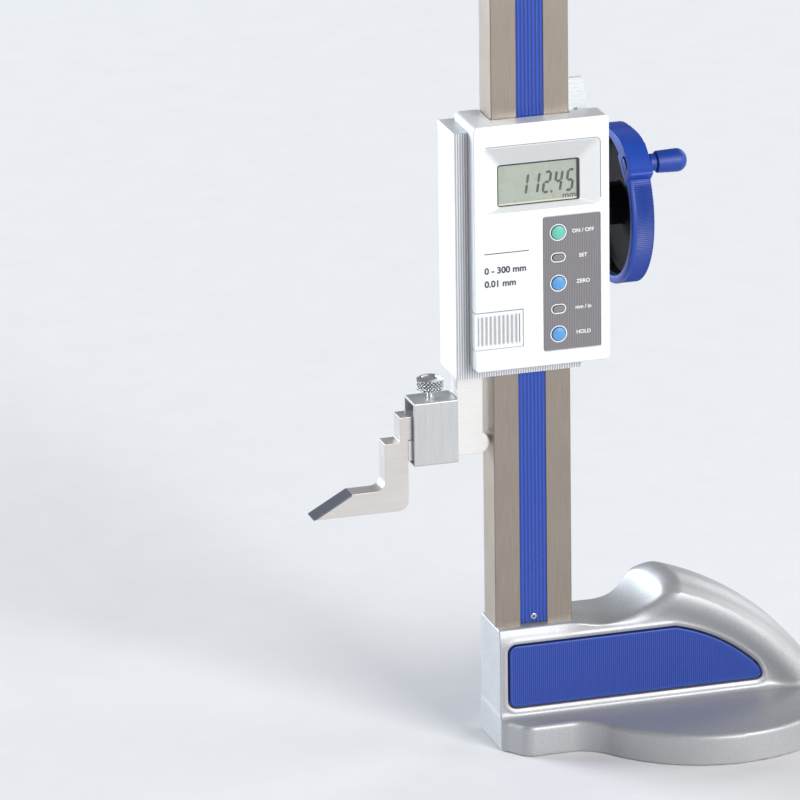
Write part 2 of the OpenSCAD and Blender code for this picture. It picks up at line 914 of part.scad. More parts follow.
module clamp_lever() {
  color("gainsboro")
    difference() {
      union() {
        bar_x(slider_right + gap, 28.4, 5.4, clamp_y, clamp_z);
        side_view(slider_right + gap, 28.4)
          polygon([
            [clamp_y - 5.4, clamp_z],
            [clamp_y + 5.4, clamp_z],
            [clamp_y + 3.6, slider_top + 4.2],
            [clamp_y - 5.4, slider_top + 4.2]
          ]);
        side_view(cx + 0.6, 28.4)
          pad_view();
      }
      bar_x(slider_right, 30, clamp_hole, clamp_y, clamp_z);
      for (k = [1:6])
        translate([0, clamp_y - 5.4 + k * 7.6 / 7, slider_top + 3.9 + k * 10.9 / 7])
          rotate([45, 0, 0])
            cube([80, 0.7, 0.7], center = true);
    }
}

module clamp_stud() {
  color("dimgray")
    bar_x(cx + run + 1.5 + 0.05, 28.4, clamp_hole - fit, clamp_y, clamp_z);
}

module clamp_screw() {
  color("silver") {
    bar_z(shank_top + 0.3, box_top + 3.5, thumb_radius - fit, thumb_x, 0);
    difference() {
      bar_z(box_top + 3.3, box_top + 9.3, thumb_diameter / 2, thumb_x, 0);
      bar_z(box_top + 8.7, box_top + 10, thumb_diameter / 2 - 2.2, thumb_x, 0);
    }
  }
}

// front view of the whole scriber, tip included
module scriber_view() {
  difference() {
    polygon([
      [box_right - gap, shank_bottom],
      [box_right - gap, shank_top],
      [-58.7, shank_top],
      [-58.7, jaw_top - 0.5],
      [-65.6, jaw_top - 0.5],
      [-65.6, foot_top + 5.5],
      [-70.6, foot_top],
      [-81, foot_top],
      [-scriber_reach, reading + 0.5],
      [-scriber_reach, reading],
      [tongue_left - gap - 4, reading],
      [tongue_left - gap, reading + 4],
      [tongue_left - gap, shank_bottom]
    ]);
  }
}

module scriber() {
  color("lightgray")
    front_view(-jd, jd)
      intersection() {
        scriber_view();
        translate([-tip_split, reading - 5])
          square([100, 80]);
      }
}

module scriber_tip() {
  color("slategray")
    front_view(-jd, jd)
      intersection() {
        scriber_view();
        translate([-tip_split - 60, reading - 5])
          square([60, 80]);
      }
}

// a round key: cap in front, collar behind the housing wall
module round_key(i) {
  bar_y(key_face, inner + 0.6, key_diameter / 2, key_x, key_z[i]);
  bar_y(inner + 0.2, inner + 0.9, key_diameter / 2 + 0.8, key_x, key_z[i]);
  bar_y(inner + 0.5, board_front - 1.1 - key_travel - 0.2, 1.4, key_x, key_z[i]);
}

// an oval key with the same collar and stem
module oval_key(i) {
  front_view(key_face + 0.4, inner + 0.6)
    oval(key_x, key_z[i], oval_half, oval_radius);
  front_view(inner + 0.2, inner + 0.9)
    oval(key_x, key_z[i], oval_half, oval_radius + 0.8);
  bar_y(inner + 0.5, board_front - 1.1 - key_travel - 0.2, 1.2, key_x, key_z[i]);
}

module power_key() {
  color("mediumaquamarine")
    round_key(0);
}

module set_key() {
  color("white")
    oval_key(1);
}

module zero_key() {
  color("cornflowerblue")
    round_key(2);
}

module unit_key() {
  color("white")
    oval_key(3);
}

module hold_key() {
  color("cornflowerblue")
    round_key(4);
}

module battery_cover() {
  color("whitesmoke") {
    block(cover_left, cover_right, front, front + 1.3, cover_bottom, cover_top);
    block(cover_left, cover_left + 1.3, front, -12, cover_bottom, cover_top);
  }
}

base_casting();
front_grip();
rear_grip();
column();
main_scale();
scale_cover();
scale_screws();
column_bolts();
column_cap();
cap_screws();
feed_rack();
slider_frame();
gib_strip();
gib_screws();
clamp_shoe();
display_housing();
housing_screws();
key_panel();
keypad_mat();
circuit_board();
sensor_head();
lcd_module();
lcd_window();
coin_cell();
battery_contact();
jaw();
jaw_screws();
clamp_box();
gear_case();
gear_case_screws();
shaft_bushes();
handwheel();
drive_shaft();
pinion();
hub_screw();
knob_axle();
knob();
clamp_lever();
clamp_stud();
clamp_screw();
scriber();
scriber_tip();
power_key();
set_key();
zero_key();
unit_key();
hold_key();
battery_cover();
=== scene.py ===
# %% [markdown]
# # A digital height gauge
#
# The gauge is a cast base with a hand rail, a steel column with a blue scale strip, a slider that carries
# the readout and a scriber, and a handwheel that drives the slider up and down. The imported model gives
# every piece its place, its size and the body that it moves with. This file gives the pieces their looks.
# They could be pushed into shape by hand in edit mode. A shape that is written as a formula can also be
# measured, changed and made again, so here each piece is worked out with arrays.

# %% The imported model
import math

import bmesh
import bpy
import numpy as np
from mathutils import Matrix, Vector


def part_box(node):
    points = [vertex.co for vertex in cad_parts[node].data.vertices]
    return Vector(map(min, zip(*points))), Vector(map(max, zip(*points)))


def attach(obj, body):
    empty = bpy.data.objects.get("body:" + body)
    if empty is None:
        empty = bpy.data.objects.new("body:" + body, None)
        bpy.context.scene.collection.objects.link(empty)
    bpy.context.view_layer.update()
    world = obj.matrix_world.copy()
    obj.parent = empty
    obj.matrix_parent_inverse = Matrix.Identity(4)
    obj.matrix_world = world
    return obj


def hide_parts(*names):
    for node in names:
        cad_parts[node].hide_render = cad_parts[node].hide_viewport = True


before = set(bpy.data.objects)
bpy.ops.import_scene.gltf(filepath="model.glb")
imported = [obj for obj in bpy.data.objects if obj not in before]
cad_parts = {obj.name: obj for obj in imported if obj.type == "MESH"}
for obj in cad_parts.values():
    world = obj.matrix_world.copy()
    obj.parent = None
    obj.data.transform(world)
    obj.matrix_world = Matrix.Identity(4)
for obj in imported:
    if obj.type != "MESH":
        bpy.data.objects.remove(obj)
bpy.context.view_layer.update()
MM = 0.001

def span(node):
    """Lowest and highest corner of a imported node, in millimetres."""
    low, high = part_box(node)
    return np.array(low) / MM, np.array(high) / MM

# %% [markdown]
# ## The camera
#
# The gauge is seen through a long lens from the left and a little above, which keeps upright lines almost
# parallel. Aiming a camera by eye takes many tries, so its direction is written as three angles and its
# axes are worked out from them: `back` points from the object to the lens, `right` and `up` span the
# picture, and the roll turns those two a little.

# %% Camera
AZIMUTH, ELEVATION, ROLL = np.radians((-16.88, 18.70, -0.77))
CAMERA_PLACE = (-1.0259, -3.1926, 1.2907)
PICTURE_PIXELS = 800
FOCAL_PIXELS = 8185
SENSOR = 36
FAR_CLIP = 50

back = np.array([
    math.sin(AZIMUTH) * math.cos(ELEVATION),
    -math.cos(AZIMUTH) * math.cos(ELEVATION),
    math.sin(ELEVATION),
])
level = np.array([math.cos(AZIMUTH), math.sin(AZIMUTH), 0])
upright = np.cross(back, level)
right = math.cos(ROLL) * level + math.sin(ROLL) * upright
up = math.cos(ROLL) * upright - math.sin(ROLL) * level

camera = bpy.data.cameras.new("camera")
camera.sensor_fit = "HORIZONTAL"
camera.sensor_width = SENSOR
camera.lens = FOCAL_PIXELS / PICTURE_PIXELS * SENSOR
camera.clip_end = FAR_CLIP
eye = bpy.data.objects.new("camera", camera)
eye.matrix_world = Matrix(np.column_stack([right, up, back, CAMERA_PLACE]).tolist() + [[0, 0, 0, 1]])
bpy.context.scene.collection.objects.link(eye)
bpy.context.scene.camera = eye
print("camera lens", round(camera.lens), "mm at", CAMERA_PLACE)

# %% [markdown]
# ## Floor and light
#
# A studio shot of a tool needs a pale floor, one large soft lamp and something pale all round for the
# steel to mirror. The front lamp stands to the right, not very high, which leaves the tops a little darker
# than the fronts. A cool lamp behind on the left makes the left faces the brightest, as on the real
# gauge, and two weaker ones fill in from the right and the back. All stand far off, so that the floor is
# lit evenly. A sky picture would do too, but plain lamps and an even sky are easier to reason about.

# %% Floor, sky and lamps
FLOOR_SIZE = 14
SKY_COLOUR = (0.86, 0.88, 0.91, 1)
SKY_STRENGTH = 0.26
FLOOR_COLOUR = (0.80, 0.80, 0.81, 1)
AIM = (0.03, 0, 0.22)
LAMPS = {
    "front_lamp": ((1.76, -3.92, 1.84), 2.2, 202, (1.0, 0.99, 0.98)),
    "left_lamp": ((-3.24, 3.06, 1.12), 2.5, 335, (0.86, 0.93, 1.0)),
    "right_lamp": ((2.40, -0.50, 0.90), 1.2, 18, (1.0, 1.0, 1.0)),
    "back_lamp": ((2.40, 1.90, 1.20), 1.2, 24, (1.0, 1.0, 1.0)),
}

scene = bpy.context.scene
scene.view_settings.view_transform = "Standard"
for name, (place, size, watts, tint) in LAMPS.items():
    lamp = bpy.data.lights.new(name, "AREA")
    lamp.size = size
    lamp.energy = watts
    lamp.color = tint
    holder = bpy.data.objects.new(name, lamp)
    holder.location = place
    holder.rotation_euler = (Vector(AIM) - Vector(place)).to_track_quat("-Z", "Y").to_euler()
    scene.collection.objects.link(holder)

sky = bpy.data.worlds.new("sky")
sky.use_nodes = True
sky.node_tree.nodes["Background"].inputs["Color"].default_value = SKY_COLOUR
sky.node_tree.nodes["Background"].inputs["Strength"].default_value = SKY_STRENGTH
scene.world = sky
print("lamps:", ", ".join(LAMPS))

# %% [markdown]
# ## Shared effects for the finishes
#
# Cast paint, brushed steel and moulded plastic each have a fine pattern that repeats on many pieces. The
# pattern could be drawn again in every material. A node group is drawn once and placed in each material
# with its own values: `fine_grain` is a speckle, `drawn_lines` is the streak left by a grinding belt,
# `pinstripe` is an even row of lines, and `handling` is the slow change of gloss on a touched surface.
# A last group paints shade into the colour at the bottom of grooves, where little light falls, and paints
# light onto faces that are made paler than the rest. They give only colours, heights and roughness; the
# shader itself stays in the material.

# %% Node helpers
def srgb(*channels):
    """Screen colour, 0 to 255, as the linear values that shaders use."""
    part = np.array(channels) / 255
    linear = np.where(part <= 0.04045, part / 12.92, ((part + 0.055) / 1.055) ** 2.4)
    return (*linear.tolist(), 1)

def wire(tree, kind, inputs, **settings):
    """Adds a node. An input is a plain value, or the output socket of another node to link from."""
    node = tree.nodes.new("ShaderNode" + kind)
    for key, value in settings.items():
        setattr(node, key, value)
    for key, value in inputs.items():
        if isinstance(value, bpy.types.NodeSocket):
            tree.links.new(value, node.inputs[key])
        else:
            node.inputs[key].default_value = value
    return node

def new_group(name, inputs, outputs):
    """An empty node group with named sockets, and its entry and exit nodes."""
    tree = bpy.data.node_groups.new(name, "ShaderNodeTree")
    for label, kind, value in inputs:
        socket = tree.interface.new_socket(label, in_out="INPUT", socket_type="NodeSocket" + kind)
        socket.default_value = value
    for label, kind in outputs:
        tree.interface.new_socket(label, in_out="OUTPUT", socket_type="NodeSocket" + kind)
    return tree, tree.nodes.new("NodeGroupInput").outputs, tree.nodes.new("NodeGroupOutput").inputs

# the colour sockets of a Mix node, which also has float and vector ones
MIX_FACTOR, MIX_A, MIX_B, MIX_RESULT = 0, 6, 7, 2
TWO_TONES = [("Dark", "Color", (0, 0, 0, 1)), ("Light", "Color", (1, 1, 1, 1))]

def two_tone(tree, enter, leave, factor):
    """Mixes a group's Dark and Light colours by a factor, and gives the factor out as a height."""
    mix = wire(tree, "Mix", {MIX_FACTOR: factor, MIX_A: enter["Dark"], MIX_B: enter["Light"]},
               data_type="RGBA")
    tree.links.new(mix.outputs[MIX_RESULT], leave["Colour"])
    tree.links.new(factor, leave["Height"])

def object_place(tree):
    """Output socket of the point's own place on the piece, in metres."""
    return wire(tree, "TexCoord", {}).outputs["Object"]

# %% Speckle and streaks
def make_fine_grain():
    """Speckle: noise as fine as asked, spread to full contrast."""
    tree, enter, leave = new_group(
        "fine_grain", TWO_TONES + [("Fineness", "Float", 2000.0)],
        [("Colour", "Color"), ("Height", "Float")])
    noise = wire(tree, "TexNoise", {"Vector": object_place(tree), "Scale": enter["Fineness"],
                                    "Detail": 3.0, "Roughness": 0.6})
    spread = wire(tree, "MapRange", {"Value": noise.outputs[0], "From Min": 0.32, "From Max": 0.68})
    two_tone(tree, enter, leave, spread.outputs[0])
    return tree

def make_drawn_lines():
    """Streaks: noise on a place that is stretched differently along each axis."""
    tree, enter, leave = new_group(
        "drawn_lines", TWO_TONES + [("Stretch", "Vector", (1, 1, 1))],
        [("Colour", "Color"), ("Height", "Float")])
    place = wire(tree, "VectorMath", {0: object_place(tree), 1: enter["Stretch"]}, operation="MULTIPLY")
    noise = wire(tree, "TexNoise", {"Vector": place.outputs[0], "Scale": 1.0, "Detail": 5.0,
                                    "Roughness": 0.62})
    spread = wire(tree, "MapRange", {"Value": noise.outputs[0], "From Min": 0.28, "From Max": 0.72})
    two_tone(tree, enter, leave, spread.outputs[0])
    return tree

# %% Stripes
def make_pinstripe():
    """Even lines: half a cosine wave of the place along X, with the pitch given in metres."""
    tree, enter, leave = new_group(
        "pinstripe", TWO_TONES + [("Pitch", "Float", 0.001)],
        [("Colour", "Color"), ("Height", "Float")])
    across = wire(tree, "SeparateXYZ", {0: object_place(tree)}).outputs["X"]
    turns = wire(tree, "Math", {0: across, 1: enter["Pitch"]}, operation="DIVIDE").outputs[0]
    angle = wire(tree, "Math", {0: turns, 1: math.tau}, operation="MULTIPLY").outputs[0]
    wave = wire(tree, "Math", {0: angle}, operation="COSINE").outputs[0]
    spread = wire(tree, "MapRange", {"Value": wave, "From Min": -1.0, "From Max": 1.0})
    two_tone(tree, enter, leave, spread.outputs[0])
    return tree

# %% Gloss and grooves
def make_handling():
    """Gloss that drifts over a few centimetres between a clean and a dull roughness."""
    tree, enter, leave = new_group(
        "handling", [("Clean", "Float", 0.3), ("Dull", "Float", 0.4)], [("Roughness", "Float")])
    noise = wire(tree, "TexNoise", {"Vector": object_place(tree), "Scale": 60.0, "Detail": 3.0})
    spread = wire(tree, "MapRange", {"Value": noise.outputs[0], "From Min": 0.3, "From Max": 0.7,
                                     "To Min": enter["Clean"], "To Max": enter["Dull"]})
    tree.links.new(spread.outputs[0], leave["Roughness"])
    return tree

def make_painted_shade_and_light():
    """Painted shade and light: the colour times one minus the darkness times the piece's own groove value,
    which is 0 on a crown, 1 in the bottom of a groove, where it paints shade, and -1 on a face that it
    paints lighter."""
    tree, enter, leave = new_group(
        "painted_shade_and_light", [("Colour", "Color", (1, 1, 1, 1)), ("Darkness", "Float", 0.5)],
        [("Colour", "Color")])
    groove = wire(tree, "Attribute", {}, attribute_name="groove").outputs["Fac"]
    loss = wire(tree, "Math", {0: groove, 1: enter["Darkness"]}, operation="MULTIPLY").outputs[0]
    rest = wire(tree, "Math", {0: 1.0, 1: loss}, operation="SUBTRACT").outputs[0]
    shaded = wire(tree, "VectorMath", {0: enter["Colour"], "Scale": rest}, operation="SCALE")
    tree.links.new(shaded.outputs[0], leave["Colour"])
    return tree

GROUPS = {
    "grain": make_fine_grain(),
    "lines": make_drawn_lines(),
    "stripe": make_pinstripe(),
    "handling": make_handling(),
    "groove": make_painted_shade_and_light(),
}
print("node groups:", ", ".join(tree.name for tree in GROUPS.values()))

# %% [markdown]
# ## The finishes
#
# Each finish is one Principled shader with a pattern for its colour and height and the handling group for
# its roughness. A flat colour would look like a drawing: real silver paint sparkles, a ground column has
# streaks along its length, and moulded plastic has a fine skin. Colours are written as they look on the
# gauge under plain light.

# %% Finish maker
def finish(name, colour, pattern="grain", vary=0.05, rough=(0.35, 0.45), bump=0.01, metallic=0.0,
           sockets=None, groove=0.0, **values):
    """A material: the colour, lighter and darker by `vary`, is laid out by a pattern; `bump` is its height
    in millimetres, the roughness drifts between two values, and `groove` is how much painted shade the
    grooves get, and how much painted light a face with a negative groove value gets."""
    material = bpy.data.materials.new(name)
    material.use_nodes = True
    tree = material.node_tree
    shader = tree.nodes["Principled BSDF"]
    base = np.array(colour[:3])
    tones = {
        "Dark": (*(base * (1 - vary)).tolist(), 1),
        "Light": (*np.minimum(base * (1 + vary), 1).tolist(), 1),
    }
    look = wire(tree, "Group", {**tones, **values}, node_tree=GROUPS[pattern])
    touch = wire(tree, "Group", {"Clean": rough[0], "Dull": rough[1]}, node_tree=GROUPS["handling"])
    relief = wire(tree, "Bump", {"Strength": 1.0, "Distance": bump * MM, "Height": look.outputs["Height"]})
    seen = look.outputs["Colour"]
    if groove > 0:
        # painted shade in grooves, and painted light on faces with a negative groove value
        shade_mix = wire(tree, "Group", {"Colour": seen, "Darkness": groove}, node_tree=GROUPS["groove"])
        seen = shade_mix.outputs["Colour"]
    tree.links.new(seen, shader.inputs["Base Color"])
    tree.links.new(touch.outputs["Roughness"], shader.inputs["Roughness"])
    tree.links.new(relief.outputs["Normal"], shader.inputs["Normal"])
    shader.inputs["Metallic"].default_value = metallic
    for key, value in (sockets or {}).items():
        shader.inputs[key].default_value = value
    return material

# cycles per metre along X, Y and Z: few along a streak, many across it
LONG_STREAK, FINE_STREAK = 60, 2500
ALONG_X = (LONG_STREAK, FINE_STREAK, FINE_STREAK)
ALONG_Z = (FINE_STREAK, FINE_STREAK, LONG_STREAK)

# %% Paints and metals
# groove= sets the painted shade in a finish's grooves; on the column steel it only paints the sides lighter
SILVER = finish("cast_silver_paint", srgb(178, 179, 182), vary=0.16, Fineness=2600.0,
                rough=(0.46, 0.54), bump=0.02, metallic=0.55)
STEEL = finish("ground_column_steel", srgb(152, 142, 132), "lines", vary=0.13, Stretch=ALONG_Z,
               rough=(0.30, 0.38), bump=0.002, metallic=0.85, groove=0.36)
WHITE = finish("housing_paint", srgb(226, 229, 231), vary=0.05, Fineness=2400.0,
               rough=(0.38, 0.46), bump=0.012, metallic=0.15, groove=0.36)
FRAME = finish("frame_paint", srgb(222, 224, 228), vary=0.04, Fineness=2400.0,
               rough=(0.36, 0.44), bump=0.01, metallic=0.2, groove=0.32)
BRIGHT = finish("satin_jaw_steel", srgb(226, 225, 223), "lines", vary=0.05, Stretch=ALONG_X,
                rough=(0.28, 0.36), bump=0.002, metallic=0.45)
BLADE = finish("ground_scriber_steel", srgb(204, 200, 197), "lines", vary=0.06, Stretch=ALONG_X,
               rough=(0.30, 0.38), bump=0.002, metallic=0.6)
SATIN = finish("satin_box_steel", srgb(190, 192, 193), "lines", vary=0.08, Stretch=ALONG_Z,
               rough=(0.34, 0.42), bump=0.002, metallic=0.55)
CHROME = finish("plated_thumb_steel", srgb(228, 229, 231), vary=0.03, Fineness=900.0,
                rough=(0.24, 0.30), bump=0.001, metallic=1.0, groove=0.75)
CARBIDE = finish("dark_carbide", srgb(108, 111, 122), vary=0.10, Fineness=3500.0,
                 rough=(0.34, 0.42), bump=0.003, metallic=0.6)
SCREW = finish("plain_screw_steel", srgb(186, 186, 184), vary=0.06, Fineness=1500.0,
               rough=(0.26, 0.34), bump=0.002, metallic=1.0)
BLACK = finish("blackened_screw_steel", srgb(52, 52, 56), vary=0.10, Fineness=2000.0,
               rough=(0.34, 0.44), bump=0.003, metallic=0.7)
CUT = finish("cut_tooth_steel", srgb(160, 158, 154), "lines", vary=0.10, Stretch=ALONG_X,
             rough=(0.28, 0.36), bump=0.002, metallic=0.95)
BRONZE = finish("bush_bronze", srgb(176, 134, 76), vary=0.10, Fineness=1800.0,
                rough=(0.30, 0.40), bump=0.003, metallic=0.95)
CELL = finish("cell_steel", srgb(205, 205, 202), vary=0.04, Fineness=700.0,
              rough=(0.2, 0.28), bump=0.001, metallic=1.0)
FOIL = finish("scale_foil", srgb(190, 168, 112), "lines", vary=0.08, Stretch=ALONG_X,
              rough=(0.30, 0.38), bump=0.001, metallic=0.8)

# %% Plastics, rubber and prints
GRIP = finish("grip_blue_plastic", srgb(38, 72, 170), vary=0.06, Fineness=1800.0,
              rough=(0.36, 0.46), bump=0.004, groove=0.5)
STRIP = finish("strip_blue_plastic", srgb(48, 82, 184), "lines", vary=0.07, Stretch=ALONG_Z,
               rough=(0.22, 0.28), bump=0.002, groove=0.45)
WHEEL = finish("wheel_blue_plastic", srgb(17, 58, 150), vary=0.06, Fineness=1600.0,
               rough=(0.42, 0.50), bump=0.004, groove=0.25)
CAP = finish("cap_grey_paint", srgb(120, 122, 126), vary=0.08, Fineness=2200.0,
             rough=(0.40, 0.50), bump=0.01, metallic=0.2)
LEVER = finish("lever_grey_plastic", srgb(216, 221, 224), vary=0.04, Fineness=2000.0,
               rough=(0.38, 0.48), bump=0.006)
PANEL = finish("panel_grey_film", srgb(118, 116, 120), "stripe", vary=0.26, Pitch=0.77 * MM,
               rough=(0.34, 0.42), bump=0.01)
PRINT = finish("white_print", srgb(232, 233, 232), vary=0.03, Fineness=2500.0,
               rough=(0.42, 0.5), bump=0.002)
# near-black finish for the sheets inside the handwheel, which are painted shade
SHADE_SHEET = finish("near_black_painted_shade", srgb(14, 13, 18), vary=0.10, Fineness=1200.0,
               rough=(0.6, 0.7), bump=0.003, sockets={"Specular IOR Level": 0.08})
# pale finish for a strip that is painted light
LIT_STRIP = finish("readout_painted_light", srgb(206, 206, 188), vary=0.03, Fineness=900.0,
               rough=(0.4, 0.5), bump=0.002)
INK = finish("dark_print", srgb(58, 60, 66), vary=0.08, Fineness=2500.0, rough=(0.42, 0.5), bump=0.002)
GREEN_KEY = finish("key_green_plastic", srgb(96, 184, 166), vary=0.04, Fineness=1800.0,
                   rough=(0.30, 0.40), bump=0.004)
BLUE_KEY = finish("key_blue_plastic", srgb(84, 146, 204), vary=0.04, Fineness=1800.0,
                  rough=(0.30, 0.40), bump=0.004)
GREY_KEY = finish("key_grey_plastic", srgb(122, 121, 125), vary=0.05, Fineness=1800.0,
                  rough=(0.34, 0.44), bump=0.004)
READOUT = finish("readout_glass", srgb(153, 161, 148), vary=0.025, Fineness=60.0,
                 rough=(0.22, 0.30), bump=0.001)
SEGMENT = finish("readout_segments", srgb(20, 22, 21), vary=0.06, Fineness=900.0,
                 rough=(0.34, 0.42), bump=0.001)
BOARD = finish("board_green", srgb(42, 96, 62), vary=0.10, Fineness=500.0, rough=(0.36, 0.46), bump=0.004)
RUBBER = finish("mat_rubber", srgb(48, 48, 50), vary=0.10, Fineness=1400.0, rough=(0.6, 0.7), bump=0.006)
GLASS = finish("clear_window", srgb(232, 238, 236), vary=0.01, Fineness=40.0, rough=(0.05, 0.09),
               bump=0.0005, sockets={"Alpha": 0.06})
GROUND = finish("pale_floor", FLOOR_COLOUR, vary=0.012, Fineness=40.0, rough=(0.85, 0.95), bump=0.01,
                sockets={"Specular IOR Level": 0.05})
print("finishes:", len(bpy.data.materials))

# %% [markdown]
# ## Shapes as arrays
#
# A piece is a shell: an array of points in millimetres, and faces that name points by number. Blender can
# also build such shells from ready cylinders and boxes and cut them with Boolean modifiers, which leaves
# ragged faces. Here a shell is a grid of points, row by row, so its faces follow from the row length.
# Points that meet are merged, the faces are turned outwards, and edges sharper than the crease angle stay
# crisp while the others shade smoothly.

# %% From a shell to a piece
WELD = 1e-7

def new_piece(name, mesh, material, body, stands_for):
    """Links a mesh, gives it its finish, hangs it under the body it moves with, and hides the nodes it
    stands for.
    """
    mesh.materials.append(material)
    piece = bpy.data.objects.new(name, mesh)
    bpy.context.scene.collection.objects.link(piece)
    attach(piece, body)
    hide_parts(*stands_for)
    print(f"{name}: {len(mesh.vertices)} points, {len(mesh.polygons)} faces")
    return piece

def make_piece(name, shell, material, body, stands_for=(), crease=35, sunk=None):
    """A piece from a shell. Large faces decide how a rounded rim is shaded, so that flats stay flat. `sunk`
    says for each point how deep it lies in a groove, from 0 to 1, which the finish turns into painted
    shade, or with -1 that its face gets painted light."""
    points, faces = shell
    mesh = bpy.data.meshes.new(name)
    mesh.from_pydata((np.asarray(points) * MM).tolist(), [], faces)
    if sunk is not None:
        groove = mesh.attributes.new("groove", "FLOAT", "POINT")
        groove.data.foreach_set("value", np.clip(sunk, -1, 1).astype(np.float32))
    tidy = bmesh.new()
    tidy.from_mesh(mesh)
    bmesh.ops.remove_doubles(tidy, verts=tidy.verts, dist=WELD)
    bmesh.ops.recalc_face_normals(tidy, faces=tidy.faces)
    tidy.to_mesh(mesh)
    tidy.free()
    mesh.shade_smooth()
    mesh.set_sharp_from_angle(angle=math.radians(crease))
    piece = new_piece(name, mesh, material, body, stands_for)
    even = piece.modifiers.new("even_shading", "WEIGHTED_NORMAL")
    even.keep_sharp = True
    even.weight = 100
    return piece

# %% Grids and lofts
def grid_faces(rows, columns, wrap_rows=False, wrap_columns=True):
    """Quads between neighbours in a grid numbered row by row; a wrapped side joins up with its start."""
    number = np.arange(rows * columns).reshape(rows, columns)
    if wrap_rows:
        number = np.vstack([number, number[:1]])
    if wrap_columns:
        number = np.column_stack([number, number[:, 0]])
    corners = number[:-1, :-1], number[:-1, 1:], number[1:, 1:], number[1:, :-1]
    return np.stack(corners, axis=-1).reshape(-1, 4).tolist()

def loft(rings, wrap=False):
    """Closed rings of equally many points, joined by quads, with a lid on the first and the last ring."""
    rings = np.asarray(rings, float)
    rows, around = rings.shape[:2]
    faces = grid_faces(rows, around, wrap_rows=wrap)
    if not wrap:
        faces += [list(range(around)), list(range((rows - 1) * around, rows * around))]
    return rings.reshape(-1, 3), faces

def join(*shells):
    """Several shells as one: the point numbers of each are moved up past those before it."""
    starts = np.cumsum([0] + [len(points) for points, faces in shells])
    faces = [[corner + int(start) for corner in face]
             for (points, group), start in zip(shells, starts) for face in group]
    return np.concatenate([points for points, group in shells]), faces

# %% Outlines
def stand(outline, depth, axis):
    """Puts a flat outline into space at a depth along an axis; its columns are the other two axes."""
    return np.insert(np.asarray(outline, float), "xyz".index(axis), depth, axis=1)

def shrink(outline, amount):
    """Moves every side inwards: a corner goes by the sum of its two side normals, over one plus their
    product."""
    outline = np.asarray(outline, float)
    side = np.roll(outline, -1, axis=0) - outline
    following = np.roll(outline, -1, axis=0)
    turn = np.sign(np.sum(outline[:, 0] * following[:, 1] - outline[:, 1] * following[:, 0]))
    normal = turn * np.column_stack([-side[:, 1], side[:, 0]])
    normal /= np.linalg.norm(normal, axis=1, keepdims=True)
    before = np.roll(normal, 1, axis=0)
    share = 1 + np.sum(normal * before, axis=1, keepdims=True)
    return outline + amount * (normal + before) / np.maximum(share, 0.3)

def soften(corners, radius, steps=5):
    """Rounds the corners of an outline: an arc between the two points where a circle of that radius
    touches the sides, turned evenly from one to the other."""
    corners = np.asarray(corners, float)
    radius = np.broadcast_to(np.maximum(radius, 0.03), len(corners))[:, None]
    back_way = np.roll(corners, 1, axis=0) - corners
    on_way = np.roll(corners, -1, axis=0) - corners
    back_way /= np.linalg.norm(back_way, axis=1, keepdims=True)
    on_way /= np.linalg.norm(on_way, axis=1, keepdims=True)
    half = np.arccos(np.clip(np.sum(back_way * on_way, axis=1, keepdims=True), -1, 1)) / 2
    middle = back_way + on_way
    middle /= np.linalg.norm(middle, axis=1, keepdims=True)
    centre = corners + middle * radius / np.sin(half)
    first = corners + back_way * radius / np.tan(half) - centre
    last = corners + on_way * radius / np.tan(half) - centre
    sweep = (math.pi - 2 * half)[:, None]
    share = np.linspace(0, 1, steps)[None, :, None]
    arc = (np.sin((1 - share) * sweep) * first[:, None] + np.sin(share * sweep) * last[:, None])
    return (centre[:, None] + arc / np.sin(sweep)).reshape(-1, 2)

def rounded_box(u0, u1, v0, v1, radius, steps=5):
    """Rectangle with rounded corners."""
    return soften([(u0, v0), (u1, v0), (u1, v1), (u0, v1)], radius, steps)

def rays(angle):
    """Points on the unit circle: the cosine and the sine of each angle."""
    return np.column_stack([np.cos(angle), np.sin(angle)])

def circle(u, v, radius, count=48):
    """Ring of points round a centre."""
    return [u, v] + radius * rays(np.arange(count) * math.tau / count)

# %% Plates and tubes
RIM_TURN = np.linspace(0, math.pi / 2, 4)

def quarter_round(edge):
    """How far a rounded rim is drawn in, and how far it has risen there, along a quarter circle."""
    return edge * (1 - np.sin(RIM_TURN)), edge * (1 - np.cos(RIM_TURN))

def stacked(levels, axis, wrap=False):
    """A shell through (outline, depth) pairs along an axis."""
    return loft([stand(outline, depth, axis) for outline, depth in levels], wrap)

def prism(outline, low, high, axis):
    """A plate with sharp rims: the same outline at two depths."""
    return stacked([(outline, low), (outline, high)], axis)

def slab(outline, low, high, axis, edge=0.4):
    """A plate: the outline is carried along an axis and drawn in by a quarter circle at both rims."""
    inset, rise = quarter_round(edge)
    insets = np.concatenate([inset, inset[::-1]])
    depths = np.concatenate([low + rise, high - rise[::-1]])
    return stacked([(shrink(outline, i), d) for i, d in zip(insets, depths)], axis)

def sleeve(outer, inner, low, high, axis, edge=0.3):
    """A tube: along the outer outline, over the rim, and back along the inner outline."""
    narrow = shrink(outer, edge)
    levels = [(narrow, low), (outer, low + edge), (outer, high - edge), (narrow, high), (inner, high),
              (inner, low)]
    return stacked(levels, axis, wrap=True)

# %% Turned pieces
def turned(profile, axis, centre, around=64, ripple=None, wrap=False):
    """A lathe: each (along, radius) pair becomes a ring; ripple(along, angle) is added to the radius."""
    along, radius = np.asarray(profile, float).T
    angle = np.arange(around) * math.tau / around
    reach = np.repeat(radius[:, None], around, axis=1)
    if ripple is not None:
        reach = reach + ripple(along[:, None], angle[None, :])
    ring = np.stack([centre[0] + reach * np.cos(angle), centre[1] + reach * np.sin(angle)], axis=-1)
    depth = np.repeat(along[:, None], around, axis=1)
    return loft(np.insert(ring, "xyz".index(axis), depth, axis=2), wrap=wrap)

